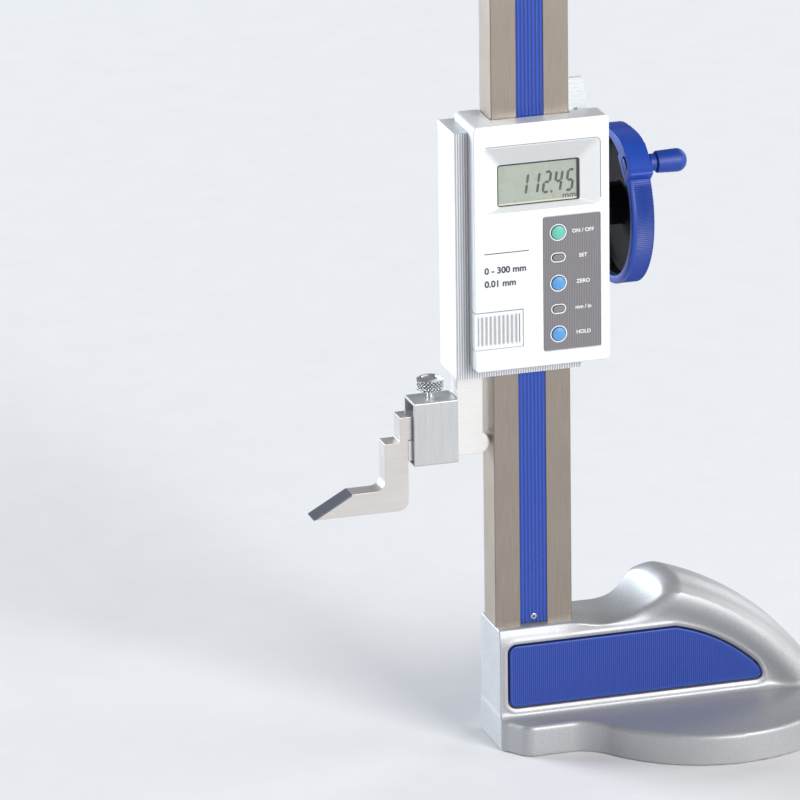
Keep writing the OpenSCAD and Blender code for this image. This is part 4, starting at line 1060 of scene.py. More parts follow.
# %% Distance of the housing
def house_distance(x, y, z):
    """Shell, collar and overhang, less the inside, the recess, the window, the beds and the key holes."""
    outline = box_distance(x, z, HOUSE_LOW[0], HOUSE_HIGH[0], HOUSE_LOW[2], HOUSE_HIGH[2], HOUSE_CORNER)
    collar = COLLAR_Z - z
    reach = np.min([
        y - HOUSE_BACK,
        np.maximum(collar, np.maximum(x + HOLE_X, y - HOUSE_HIGH[1])),
        np.maximum(collar, np.maximum(np.abs(x) - HOLE_X - 1, y + HOLE_Y)),
        np.maximum(collar, np.maximum(HOLE_X - x, y - OVER_BACK)),
        np.maximum(FRAME_HIGH[0] + 0.1 - x, y - OVER_BACK),
    ], axis=0)
    solid = round_max(round_max(outline, reach, 0.3), HOUSE_LOW[1] - y, HOUSE_EDGE)
    room = inside_box(x, z, (HOUSE_LOW[0] + WALL, HOUSE_HIGH[0] - WALL, HOUSE_LOW[2] + WALL, COLLAR_Z - 0.6))
    room_back = np.where(x > FRAME_HIGH[0], OVER_BACK - WALL, HOUSE_HIGH[1] + 1)
    room = np.maximum(room, between(y, INNER, room_back))
    bezel = np.maximum(inside_box(x, z, RECESS) - BEZEL_WALL, y - READOUT_LOW[1])
    cell_wall = np.hypot(x - CELL_X, z - CELL_Z) - CELL_WELL - CELL_WALL
    room = np.maximum(room, -np.minimum(bezel, cell_wall))
    window = np.maximum(box_distance(x, z, *WINDOW, WINDOW_CORNER), y - READOUT_LOW[1] - 1)
    panel_bed = box_distance(x, z, PANEL_LOW[0] - BED_PLAY, PANEL_HIGH[0] + BED_PLAY,
                             PANEL_LOW[2] - BED_PLAY, PANEL_HIGH[2] + BED_PLAY, PANEL_CORNER)
    panel_bed = np.maximum(panel_bed, y - PANEL_HIGH[1])
    keys = np.maximum(key_hole_distance(x, z, KEY_PLAY), y - INNER - 0.5)
    cover_bed = inside_box(x, z, (HOUSE_LOW[0] - 5, COVER_PLATE_HIGH[0] + COVER_PLAY,
                                  COVER_PLATE_LOW[2] - COVER_PLAY, COVER_PLATE_HIGH[2] + COVER_PLAY))
    lip_bed = np.maximum(x - HOUSE_LOW[0] - WALL - 0.2, y - LIP_BACK)
    cover_bed = np.maximum(cover_bed, np.minimum(y - INNER - 0.5, lip_bed))
    well = np.maximum(np.hypot(x - CELL_X, z - CELL_Z) - CELL_WELL, y - HOUSE_BACK - 1)
    funnel = funnel_distance(x, y, z)
    solid = round_max(solid, -np.min([window, panel_bed, keys, cover_bed, well], axis=0), 0.15)
    return np.maximum(round_max(solid, -funnel, 0.25), -room)

# %% Display housing
DOWN_SHADE = 2.4

def slope_shade(points, normals):
    """The share by which a slope round the readout looks down, where it sees only the dark of the recess."""
    x, y, z = points.T
    inside = (inside_box(x, z, RECESS) < 0.1) & (y > HOUSE_LOW[1] + 0.15) & (y < WINDOW_FACE + 0.1)
    return np.where(inside, -DOWN_SHADE * normals[:, 2], 0)

house_lines = grid_round(
    HOUSE_LOW, HOUSE_HIGH,
    (0.75, 0.28, 0.5, [HOUSE_LOW[0], RECESS[0], WINDOW[0], PANEL_LOW[0], COVER_PLATE_HIGH[0], WINDOW[1],
                       RECESS[1], HOUSE_HIGH[0]]),
    (0.8, 0.26, 1.0, [HOUSE_LOW[1] + 0.6, INNER, HOUSE_BACK]),
    (0.8, 0.28, 0.5, [HOUSE_LOW[2], PANEL_LOW[2], COVER_PLATE_LOW[2], COVER_PLATE_HIGH[2], PANEL_HIGH[2],
                      RECESS[2], WINDOW[2], WINDOW[3], RECESS[3], COLLAR_Z, HOUSE_HIGH[2]]),
)
carve("housing_shell", house_distance, house_lines, WHITE, "slider", ["display_housing"],
      slope_shade)

# %% [markdown]
# ## The readout
#
# Behind the window lies a liquid crystal readout: a pale glass plate with dark slanted figures. The
# figures are the seven bars that every such readout has. Each bar is a flat hexagon, and a table says
# which bars a figure lights; a slant is added to the place along X. A dark frame inside the window,
# widest at the right and the top, is painted shadow; a pale strip along its lower edge is painted light;
# and a thin grey line along the top and the right of the recess is painted shadow.

# %% Readout plate and window
readout_outline = rounded_box(READOUT_LOW[0], READOUT_HIGH[0], READOUT_LOW[2], READOUT_HIGH[2], 0.5)
make_piece("readout_plate", slab(readout_outline, READOUT_LOW[1], READOUT_HIGH[1], "y", 0.15), READOUT,
           "slider", ["lcd_module"])
LENS_LOW, LENS_HIGH = span("lcd_window")
LENS_FRONT = WINDOW_FACE + 0.1
lens_outline = rounded_box(LENS_LOW[0], LENS_HIGH[0], LENS_LOW[2], LENS_HIGH[2], 0.3)
make_piece("readout_lens", slab(lens_outline, LENS_FRONT, LENS_HIGH[1] - 0.1, "y", 0.1), GLASS, "slider",
           ["lcd_window"])
# painted shadow: a dark frame inside the window, widest at the right and the top
WINDOW_SHADE_WIDTH = {"left": 0.35, "right": 1.0, "bottom": 0.35, "top": 0.45}
window_shade_outer = rounded_box(*WINDOW, WINDOW_CORNER)
window_shade_inner = rounded_box(WINDOW[0] + WINDOW_SHADE_WIDTH["left"], WINDOW[1] - WINDOW_SHADE_WIDTH["right"],
                           WINDOW[2] + WINDOW_SHADE_WIDTH["bottom"], WINDOW[3] - WINDOW_SHADE_WIDTH["top"], 0.7)
window_shade_shell = sleeve(window_shade_outer, window_shade_inner, WINDOW_FACE - 0.02, READOUT_LOW[1], "y", 0.05)
make_piece("window_painted_shadow", window_shade_shell, RUBBER, "slider")
# painted light: a pale strip along the lower edge of the window
lit_strip_outline = rounded_box(WINDOW[0] + 0.4, WINDOW[1] - 1.0, WINDOW[2] + 0.35, WINDOW[2] + 1.15, 0.1)
lit_strip_shell = slab(lit_strip_outline, READOUT_LOW[1] - 0.3, READOUT_LOW[1], "y", 0.05)
make_piece("readout_lit_strip", lit_strip_shell, LIT_STRIP, "slider")

# %% Painted shadow line along the recess
EDGE_WIDTH, EDGE_CORNER, EDGE_START, EDGE_STOP = 0.3, 2.2, 1.5, 3

def edge_path(reach):
    """Along the top of the recess, round its right corner and down its side."""
    turn = np.linspace(math.pi / 2, 0, 9)
    arc = [RECESS[1] - EDGE_CORNER, RECESS[3] - EDGE_CORNER] + (EDGE_CORNER + reach) * rays(turn)
    start, stop = (RECESS[0] + EDGE_START, RECESS[3] + reach), (RECESS[1] + reach, RECESS[2] + EDGE_STOP)
    return np.concatenate([[start], arc, [stop]])

# painted shadow: a thin grey line along the top and the right of the recess
shadow_line_outline = np.concatenate([edge_path(0), edge_path(EDGE_WIDTH)[::-1]])
shadow_line_shell = prism(shadow_line_outline, HOUSE_LOW[1] - 0.01, HOUSE_LOW[1] + 0.2, "y")
make_piece("recess_painted_shadow_line", shadow_line_shell, GREY_KEY, "slider")

# %% Figures
FIGURE_TALL, FIGURE_WIDE, BAR, SLANT = 8.95, 2.6, 1.15, math.tan(math.radians(8))
FIGURE_BOTTOM = 252.6
FIGURE_PLACES = [(-5.2, "1"), (-0.1, "1"), (5.05, "2"), (10.2, "4"), (15.4, "5")]
LIT = {"1": "bc", "2": "abged", "4": "fgbc", "5": "afgcd"}
FIGURE_DEPTH = (READOUT_LOW[1] - 0.04, READOUT_LOW[1] + 0.05)

def bar_outline(start, end):
    """A flat hexagon from one end to the other: its long sides lie half a bar's width off the line."""
    start, end = np.array(start, float), np.array(end, float)
    along = (end - start) / np.linalg.norm(end - start)
    beside = np.array([-along[1], along[0]]) * BAR / 2
    inset = along * BAR / 2
    gap = along * 0.08
    return np.array([start + gap, start + inset + gap + beside, end - inset - gap + beside, end - gap,
                     end - inset - gap - beside, start + inset + gap - beside])

def figure_shells(middle, bars, bottom, tall, wide):
    """The lit bars of one figure, slanted."""
    half, low_z, mid_z, top_z = wide / 2, bottom, bottom + tall / 2, bottom + tall
    ends = {
        "a": ((-half, top_z), (half, top_z)), "b": ((half, top_z), (half, mid_z)),
        "c": ((half, mid_z), (half, low_z)), "d": ((-half, low_z), (half, low_z)),
        "e": ((-half, mid_z), (-half, low_z)), "f": ((-half, top_z), (-half, mid_z)),
        "g": ((-half, mid_z), (half, mid_z)),
    }
    lean = np.array([[1, 0], [SLANT, 1]])
    flats = [(bar_outline(*ends[bar]) - [0, bottom]) @ lean + [middle, bottom] for bar in bars]
    return [prism(flat, *FIGURE_DEPTH, "y") for flat in flats]

figure_parts = [shell for middle, figure in FIGURE_PLACES
                for shell in figure_shells(middle, LIT[figure], FIGURE_BOTTOM, FIGURE_TALL, FIGURE_WIDE)]
DOT_X, DOT_Z = (7.2, 8.15), (FIGURE_BOTTOM - 0.48, FIGURE_BOTTOM + 0.47)
point_outline = rounded_box(*DOT_X, *DOT_Z, 0.1)
figure_parts.append(prism(point_outline, *FIGURE_DEPTH, "y"))
make_piece("readout_figures", join(*figure_parts), SEGMENT, "slider")

# %% Words
BOLD, LETTER_DEEP, CAPITAL_SHARE = 0.02, 0.02, 0.7
UNIT_TALL, UNIT_X, UNIT_Z = 3.4, 15.6, 250.2

def word(name, text, tall, x, z, depth, material, anchor="CENTER", stretch=1.0, bold=BOLD):
    """Flat letters: Blender's own letter curves, made a mesh, scaled to a height and stood upright."""
    curve = bpy.data.curves.new(name, "FONT")
    curve.body = text
    curve.align_x = anchor
    curve.align_y = "CENTER"
    curve.extrude = LETTER_DEEP
    curve.offset = bold
    maker = bpy.data.objects.new(name + "_maker", curve)
    letters = bpy.data.meshes.new_from_object(maker)
    bpy.data.objects.remove(maker)
    bpy.data.curves.remove(curve)
    letters.name = name
    size = tall / CAPITAL_SHARE
    place = Matrix([[size * stretch * MM, 0, 0, x * MM], [0, 0, -size * MM, depth * MM],
                    [0, size * MM, 0, z * MM], [0, 0, 0, 1]])
    letters.transform(place)
    return new_piece(name, letters, material, "slider", ())

word("readout_unit", "mm", UNIT_TALL, UNIT_X, UNIT_Z, READOUT_LOW[1], SEGMENT,
     stretch=0.84, bold=0.005)

# %% [markdown]
# ## The key panel
#
# A grey film with fine upright lines carries five keys, each in a white printed ring with a plain word
# beside it. The panel is a thin plate with holes, carved; the keys are turned or drawn out, each with a
# collar behind the wall that keeps it in.

# %% Panel
def panel_distance(x, y, z):
    """A thin plate with a hole for each key."""
    plate = box_distance(x, z, PANEL_LOW[0], PANEL_HIGH[0], PANEL_LOW[2], PANEL_HIGH[2], PANEL_CORNER)
    plate = round_max(plate, between(y, PANEL_LOW[1], PANEL_HIGH[1]), 0.1)
    return np.maximum(plate, -key_hole_distance(x, z, KEY_PLAY))

panel_lines = (
    gather(PANEL_LOW[0] - 1, PANEL_HIGH[0] + 1, 0.9, 0.3, 3.4, [KEY_X, PANEL_LOW[0], PANEL_HIGH[0]]),
    np.linspace(PANEL_LOW[1] - 0.3, PANEL_HIGH[1] + 0.3, 9),
    gather(PANEL_LOW[2] - 1, PANEL_HIGH[2] + 1, 0.9, 0.3, 3.4, [*ROUND_KEYS.values(), *OVAL_KEYS.values()]),
)
carve("panel_film", panel_distance, panel_lines, PANEL, "slider", ["key_panel"])

# %% Shapes of the keys
KEY_FACE, KEY_DOME = -18.0, 0.35
COLLAR_FRONT, COLLAR_BACK, STEM_END = INNER + 0.2, INNER + 0.9, -13.4
RING_WIDTH, RING_GAP, PRINT_RISE = 0.42, 0.35, 0.03

def oval(z, radius, count=24):
    """Two half circles joined by straight sides."""
    angle = np.linspace(-math.pi / 2, math.pi / 2, count)
    half_ring = [OVAL_HALF, 0] + radius * rays(angle)
    return np.concatenate([half_ring, -half_ring]) + [KEY_X, z]

def round_key_shell(z):
    """Lathe profile from the domed face to the stem."""
    share = np.linspace(0.02, 1, 7)
    dome = np.column_stack([KEY_FACE + KEY_DOME * share ** 2, (KEY_RADIUS - 0.35) * share])
    edge = rim(KEY_FACE + KEY_DOME, KEY_RADIUS, 0.35, -1)[1:]
    tail = [(COLLAR_FRONT, KEY_RADIUS), (COLLAR_FRONT, KEY_RADIUS + 0.8), (COLLAR_BACK, KEY_RADIUS + 0.8),
            (COLLAR_BACK, 1.4), (STEM_END, 1.4)]
    return turned(np.concatenate([dome, edge, tail]), "y", (KEY_X, z), 64)

def oval_key_shell(z):
    """The same profile carried round an oval."""
    cap = slab(oval(z, OVAL_RADIUS), KEY_FACE + 0.4, COLLAR_BACK - 0.1, "y", 0.35)
    collar = slab(oval(z, OVAL_RADIUS + 0.8), COLLAR_FRONT, COLLAR_BACK, "y", 0.1)
    stem = turned(drum(COLLAR_BACK - 0.2, STEM_END, 1.2, 0.1), "y", (KEY_X, z), 24)
    return join(cap, collar, stem)

# %% Keys and their rings
KEY_FINISHES = {"power_key": (GREEN_KEY, "key_green"), "zero_key": (BLUE_KEY, "key_blue"),
                "hold_key": (BLUE_KEY, "key_blue")}
ring_face, ring_back = PANEL_LOW[1] - PRINT_RISE, PANEL_LOW[1] + 0.1
ring_shells = []
for name, z in ROUND_KEYS.items():
    material, slot = KEY_FINISHES[name]
    make_piece(name + "_cap", round_key_shell(z), material, name, [name])
    ring_shells.append(sleeve(circle(KEY_X, z, KEY_RADIUS + RING_GAP + RING_WIDTH),
                              circle(KEY_X, z, KEY_RADIUS + RING_GAP), ring_face, ring_back, "y", 0.01))
for name, z in OVAL_KEYS.items():
    make_piece(name + "_cap", oval_key_shell(z), GREY_KEY, name, [name])
    ring_shells.append(sleeve(oval(z, OVAL_RADIUS + RING_GAP + RING_WIDTH), oval(z, OVAL_RADIUS + RING_GAP),
                              ring_face, ring_back, "y", 0.01))
make_piece("key_rings", join(*ring_shells), PRINT, "slider")

# %% Key words
WORD_X, WORD_TALL, WORD_RISE = 20.6, 1.65, 0.01
KEY_Z = {**ROUND_KEYS, **OVAL_KEYS}
KEY_WORDS = {"power": "ON / OFF", "set": "SET", "zero": "ZERO", "unit": "mm / in", "hold": "HOLD"}
for key, text in KEY_WORDS.items():
    word(key + "_word", text, WORD_TALL, WORD_X, KEY_Z[key + "_key"], PANEL_LOW[1] - WORD_RISE, PRINT)
RANGE_X, RANGE_TALL, RULE_END, RULE_Z = -23.8, 2.8, -3.8, (228.3, 228.7)
RANGE_WORDS = {"range_word": ("0 - 300 mm", 220.8), "step_word": ("0.01 mm", 214.9)}
for name, (text, z) in RANGE_WORDS.items():
    word(name, text, RANGE_TALL, RANGE_X, z, HOUSE_LOW[1] - WORD_RISE, INK, anchor="LEFT",
         bold=0.03)
rule_outline = rounded_box(RANGE_X, RULE_END, *RULE_Z, 0.1)
rule_shell = prism(rule_outline, HOUSE_LOW[1] - 0.02, HOUSE_LOW[1] + 0.1, "y")
make_piece("rule_line", rule_shell, INK, "slider")

# %% [markdown]
# ## The battery cover
#
# The cover slides out to the left. Its face has ten upright ribs for the thumb inside a flat border. The
# face is a grid like that of the grips: columns from bottom to top whose depth is a wave across the plate,
# held flat along the border, and closed by a back.

# %% Battery cover
COVER_RIBS, COVER_BORDER, COVER_GROOVE = 10, 1.2, 0.75
COVER_ROWS, FLAT_SHARE, FADE_SHARE = mirrored([0, 0.02, 0.085, 0.105, 0.13, 0.3, 0.5]), 0.085, 0.045
PLATE_BACK, LIP_RIGHT = COVER_PLATE_LOW[1] + 1.3, COVER_PLATE_LOW[0] + 1.3

def battery_cover_shell():
    """Columns of points with a ribbed front and a flat back; a lip turns round the housing's left edge."""
    x = np.linspace(COVER_PLATE_LOW[0], COVER_PLATE_HIGH[0], 181)
    z = COVER_PLATE_LOW[2] + (COVER_PLATE_HIGH[2] - COVER_PLATE_LOW[2]) * COVER_ROWS
    left, right_end = COVER_PLATE_LOW[0] + COVER_BORDER, COVER_PLATE_HIGH[0] - COVER_BORDER
    phase = np.clip((x - left) / (right_end - left), 0, 1) * COVER_RIBS
    groove = (0.5 + 0.5 * np.cos(math.tau * phase)) ** 1.5
    groove = np.where((x > left) & (x < right_end), groove, 0)
    upright = np.clip((np.minimum(COVER_ROWS, 1 - COVER_ROWS) - FLAT_SHARE) / FADE_SHARE, 0, 1)
    depth = COVER_PLATE_LOW[1] + COVER_GROOVE * groove[:, None] * upright[None, :]
    across = np.repeat(x[:, None], len(COVER_ROWS), axis=1)
    plate = ribbed_plate(np.stack([across, depth, np.broadcast_to(z, across.shape)], axis=-1), PLATE_BACK)
    lip = slab(rounded_box(COVER_PLATE_LOW[0], LIP_RIGHT, PLATE_BACK - 0.5, COVER_PLATE_HIGH[1], 0.3),
               COVER_PLATE_LOW[2], COVER_PLATE_HIGH[2], "z", 0.1)
    return join(plate, lip)

# painted shade in the rib grooves of the cover; the lip gets none
lid_shell = battery_cover_shell()
lid_sunk = (lid_shell[0][:, 1] - COVER_PLATE_LOW[1]) / COVER_GROOVE
make_piece("battery_lid", lid_shell, WHITE, "battery_cover", ["battery_cover"],
           sunk=np.where(lid_sunk > 1.3, 0, lid_sunk))

# %% [markdown]
# ## Jaw and clamp box
#
# The jaw is a ground steel leg under the slider with a tongue to the left, rounded at its free end. The
# clamp box is a square tube that holds the scriber on the tongue. Both are outlines carried along one
# axis, with lightly rounded edges.

# %% Jaw
JAW_LOW, JAW_HIGH = span("jaw")
LEG_LEFT, LEG_RIGHT = -32.9, -21.3
TONGUE_TOP, TONGUE_END = 144.0, -18.4
BOX_LOW, BOX_HIGH = span("clamp_box")
BOX_ROOF, BOX_INNER = 157.2, 4.8

def jaw_outline():
    """Leg and tongue from the front; the right end is an arc up to the leg."""
    round_end = (TONGUE_TOP - JAW_LOW[2]) / 2
    middle = np.array([TONGUE_END - round_end, JAW_LOW[2] + round_end])
    last = math.acos((LEG_RIGHT - middle[0]) / round_end)
    angle = np.linspace(-math.pi / 2, last, 20)
    arc = middle + round_end * rays(angle)
    leg = [(LEG_RIGHT, FRAME_LOW[2] + 2), (LEG_LEFT, FRAME_LOW[2] + 2), (LEG_LEFT, TONGUE_TOP + 0.3),
           (LEG_LEFT - 0.3, TONGUE_TOP), (JAW_LOW[0], TONGUE_TOP), (JAW_LOW[0], JAW_LOW[2])]
    return np.concatenate([arc, leg])

tang = slab(rounded_box(LEG_LEFT + 1.9, LEG_RIGHT - 0.7, JAW_LOW[1] + 1, JAW_HIGH[1] - 1, 0.3),
            FRAME_LOW[2] + 1, JAW_HIGH[2], "z", 0.3)
jaw_shell = join(slab(jaw_outline(), JAW_LOW[1], JAW_HIGH[1], "y", 0.3), tang)
make_piece("jaw_leg", jaw_shell, BRIGHT, "slider", ["jaw"])

# %% Clamp box
box_outer = rounded_box(BOX_LOW[1], BOX_HIGH[1], BOX_LOW[2], BOX_HIGH[2], 0.7)
box_inner = rounded_box(-BOX_INNER, BOX_INNER, JAW_LOW[2], BOX_ROOF, 0.35)
MOUTH_DEEP, MOUTH_WALL = 3.5, 1.0
box_mouth = shrink(box_outer, MOUTH_WALL)
box_narrow = shrink(box_outer, 0.3)
box_levels = [(box_narrow, BOX_LOW[0]), (box_outer, BOX_LOW[0] + 0.3), (box_outer, BOX_HIGH[0] - 0.3),
              (box_narrow, BOX_HIGH[0]), (box_inner, BOX_HIGH[0]), (box_inner, BOX_LOW[0] + MOUTH_DEEP),
              (box_mouth, BOX_LOW[0] + MOUTH_DEEP), (box_mouth, BOX_LOW[0])]
make_piece("scriber_clamp_box", stacked(box_levels, "x", wrap=True), SATIN, "slider",
           ["clamp_box"])

# %% [markdown]
# ## Scriber and thumb screw
#
# The scriber steps down from the clamp box to a thin foot that ends in a sharp hard-metal insert, set
# along its sloped top. The thumb screw is turned, with a neck thinner than its thread; its knurl is cut by
# two slanted waves round the head, which leave rows of small diamonds.

# %% Scriber
SCRIBER_LOW, SCRIBER_HIGH = span("scriber")
TIP_LOW, TIP_HIGH = span("scriber_tip")
SHANK_TOP, SHANK_BOTTOM, SHANK_RIGHT = SCRIBER_HIGH[2], TONGUE_TOP + 0.3, SCRIBER_HIGH[0]
FOOT_Z, STEP_Z, STEP_X, ANKLE_X = 122.45, TONGUE_TOP - 0.5, -58.7, -65.6
POINT_X, POINT_Z, POINT_EDGE = TIP_LOW[0], TIP_LOW[2], 0.5
SLOPE_X, INSERT_X, INSERT_DEEP, INSERT_END = -81.0, -80.65, 0.75, -97.2
BACK_X, HEEL, TOE = JAW_LOW[0] - 0.08, 4.6, 4.5

scriber_corners = [
    (SHANK_RIGHT, SHANK_BOTTOM), (SHANK_RIGHT, SHANK_TOP), (STEP_X, SHANK_TOP), (STEP_X, STEP_Z),
    (ANKLE_X, STEP_Z), (ANKLE_X, FOOT_Z), (INSERT_X, FOOT_Z), (INSERT_X, FOOT_Z - INSERT_DEEP),
    (INSERT_END, POINT_Z), (BACK_X, POINT_Z), (BACK_X, SHANK_BOTTOM)]
scriber_radii = [0.3, 0.3, 0.3, 0.3, 0.3, TOE, 0.2, 0.2, 0.2, HEEL, 0.3]
scriber_outline = soften(scriber_corners, scriber_radii, 9)
make_piece("scriber_arm", slab(scriber_outline, SCRIBER_LOW[1], SCRIBER_HIGH[1], "y", 0.18), BLADE,
           "scriber", ["scriber"])
tip_corners = [(INSERT_X - 0.02, FOOT_Z), (SLOPE_X, FOOT_Z), (POINT_X, POINT_Z + POINT_EDGE),
               (POINT_X, POINT_Z), (INSERT_END - 0.04, POINT_Z), (INSERT_X - 0.02, FOOT_Z - INSERT_DEEP)]
make_piece("scriber_insert", slab(tip_corners, TIP_LOW[1], TIP_HIGH[1], "y", 0.12), CARBIDE, "scriber",
           ["scriber_tip"])

# %% Thumb screw
THUMB_X = -43.6
THUMB_LOW, THUMB_HIGH = span("clamp_screw")
THUMB_RADIUS, SHANK_RADIUS, WAIST_RADIUS = THUMB_HIGH[0] - THUMB_X, 2.4, 1.3
HEAD_BOTTOM, KNURL_COUNT, KNURL_DEPTH = BOX_HIGH[2] + 3.3, 22, 0.7
KNURL_LOW, KNURL_HIGH, KNURL_SLANT = HEAD_BOTTOM + 0.8, THUMB_HIGH[2] - 0.9, 1.9

def knurl(along, angle):
    """Grooves where either of two slanted waves is near zero; no knurl above and below the band."""
    band = (along >= KNURL_LOW) & (along <= KNURL_HIGH)
    rise = KNURL_SLANT * (along - KNURL_LOW)
    left_way = np.abs(np.sin(KNURL_COUNT / 2 * angle + rise))
    right_way = np.abs(np.sin(KNURL_COUNT / 2 * angle - rise))
    return -KNURL_DEPTH * np.where(band, np.clip(1 - np.minimum(left_way, right_way) / 0.7, 0, 1), 0)

thumb_profile = np.concatenate([
    [(THUMB_LOW[2], SHANK_RADIUS - 0.3), (THUMB_LOW[2] + 0.3, SHANK_RADIUS),
     (BOX_HIGH[2] - 0.1, SHANK_RADIUS), (BOX_HIGH[2] + 0.1, WAIST_RADIUS + 0.2),
     (BOX_HIGH[2] + 0.3, WAIST_RADIUS), (HEAD_BOTTOM - 0.2, WAIST_RADIUS),
     (HEAD_BOTTOM, WAIST_RADIUS + 0.3), (HEAD_BOTTOM, THUMB_RADIUS - 1.2)],
    np.column_stack([np.linspace(KNURL_LOW - 0.1, KNURL_HIGH + 0.1, 36), np.full(36, THUMB_RADIUS)]),
    [(THUMB_HIGH[2] - 0.35, THUMB_RADIUS - 0.9), (THUMB_HIGH[2], THUMB_RADIUS - 1.5),
     (THUMB_HIGH[2], THUMB_RADIUS - 2.2), (THUMB_HIGH[2] - 0.5, THUMB_RADIUS - 2.6),
     (THUMB_HIGH[2] - 0.55, 0.01)],
])
thumb_shell = turned(thumb_profile, "z", (THUMB_X, 0), KNURL_COUNT * 12, knurl)
# painted shade: the knurl's grooves are darkened by their depth
thumb_reach = np.hypot(thumb_shell[0][:, 0] - THUMB_X, thumb_shell[0][:, 1])
thumb_band = (thumb_shell[0][:, 2] > KNURL_LOW) & (thumb_shell[0][:, 2] < KNURL_HIGH)
make_piece("thumb_screw", thumb_shell, CHROME, "clamp_screw", ["clamp_screw"],
           sunk=np.where(thumb_band, (THUMB_RADIUS - thumb_reach) / KNURL_DEPTH, 0))

# %% [markdown]
# ## The gear case
#
# Behind the slider a case holds the shaft of the handwheel. It is a flange with a round barrel across it,
# which runs out to the right; where they meet there is a fillet, so it is carved.

# %% Gear case
CASE_LOW, CASE_HIGH = span("gear_case")
BARREL_RADIUS, BUSH_BORE, PINION_ROOM = 12.3, 5.0, 9.7
FLANGE_HALF_X, FLANGE_HALF_Z, FLANGE_TOP = 19.0, 18.5, FRAME_HIGH[1] + 3.5
BARREL_LEFT = -15.0
CASE_BOLTS_X, CASE_BOLT_Z = (-15.5, 14.0), 15.3

def case_distance(x, y, z):
    """Flange and barrel joined by a fillet, flat against the frame, bored for the bushes and the pinion."""
    up_way = z - SHAFT_Z
    flange = box_distance(x, up_way, -FLANGE_HALF_X, FLANGE_HALF_X, -FLANGE_HALF_Z, FLANGE_HALF_Z, 3.0)
    flange = round_max(flange, y - FLANGE_TOP, 0.8)
    barrel = round_max(np.hypot(y - SHAFT_Y, up_way) - BARREL_RADIUS,
                       between(x, BARREL_LEFT, CASE_HIGH[0]), 0.9)
    solid = round_min(flange, barrel, 2.0)
    against = np.where(x < FRAME_HIGH[0] + 0.4, FRAME_HIGH[1] - y, -50)
    solid = np.maximum(solid, against)
    room = np.maximum(np.abs(x) - PORT_HALF_X, np.hypot(np.maximum(y - SHAFT_Y, 0), up_way) - PINION_ROOM)
    bore = np.maximum(np.hypot(y - SHAFT_Y, up_way) - BUSH_BORE, BARREL_LEFT + 2 - x)
    return round_max(solid, -np.minimum(room, bore), 0.2)

case_lines = grid_round(
    CASE_LOW, CASE_HIGH,
    (0.9, 0.35, 0.6, [CASE_LOW[0], BARREL_LEFT, FLANGE_HALF_X, FRAME_HIGH[0] + 0.4, CASE_HIGH[0]]),
    (0.8, 0.35, 0.6, [FRAME_HIGH[1], FLANGE_TOP]),
    (0.8, 0.4, 0.6, [CASE_LOW[2], CASE_HIGH[2]]),
)
carve("gear_case_body", case_distance, case_lines, FRAME, "slider", ["gear_case"])
CASE_HEAD_TOP = span("gear_case_screws")[1][1]
case_heads = [socket_head(x, SHAFT_Z + side * CASE_BOLT_Z, FLANGE_TOP, CASE_HEAD_TOP, radius=2.7, flat=1.4,
                          deep=1.3, axis="y")
              for x in CASE_BOLTS_X for side in (-1, 1)]
make_piece("gear_case_heads", join(*case_heads), BLACK, "slider", ["gear_case_screws"])

# %% [markdown]
# ## The handwheel
#
# The handwheel is a blue plastic dish with its open side to the left. Its rim has fine ribs along the
# axis between two smooth lips, and a lug on the rim carries the knob. The dish is a lathe profile with a
# wave added to the rim's radius; the wave stops at the lug and at the fairing that leads up to it. A thin
# near-black sheet over the inside of the dish and in the hole for the knob's axle is painted shade.

# %% Handwheel
WHEEL_LOW, WHEEL_HIGH = span("handwheel")
WHEEL_RADIUS, RIM_INNER, WEB_LEFT = 35.0, 31.4, WHEEL_HIGH[0] - 3.0
HUB_RADIUS, HUB_BORE = 9.0, 4.05
WHEEL_RIBS, WHEEL_RIB_DEPTH = 230, 0.3
LUG_ANGLE, LUG_INNER, LUG_OUTER, LUG_HALF = math.radians(135), 29.0, 39.0, 7.5
FAIRING, FLAT_TO, RIBS_STOP = math.radians(42), math.radians(6), (math.radians(-60), math.radians(12.5))
RIBS_FROM, RIBS_TO = WHEEL_LOW[0] + 2.2, WHEEL_HIGH[0] - 1.0
SKIN, CROWN_DROP = 0.06, 0.12
KNOB_REACH = 34.5

def wheel_ribs(along, angle):
    """A cosine round the rim between the lips; it fades out before the lug and its fairing."""
    band = (along > RIBS_FROM) & (along < RIBS_TO)
    off = (angle - LUG_ANGLE + math.pi) % math.tau - math.pi
    free = np.clip(np.maximum(RIBS_STOP[0] - off, off - RIBS_STOP[1]) / 0.1, 0, 1)
    return -WHEEL_RIB_DEPTH * np.where(band, 0.5 - 0.5 * np.cos(WHEEL_RIBS * angle), 0) * free

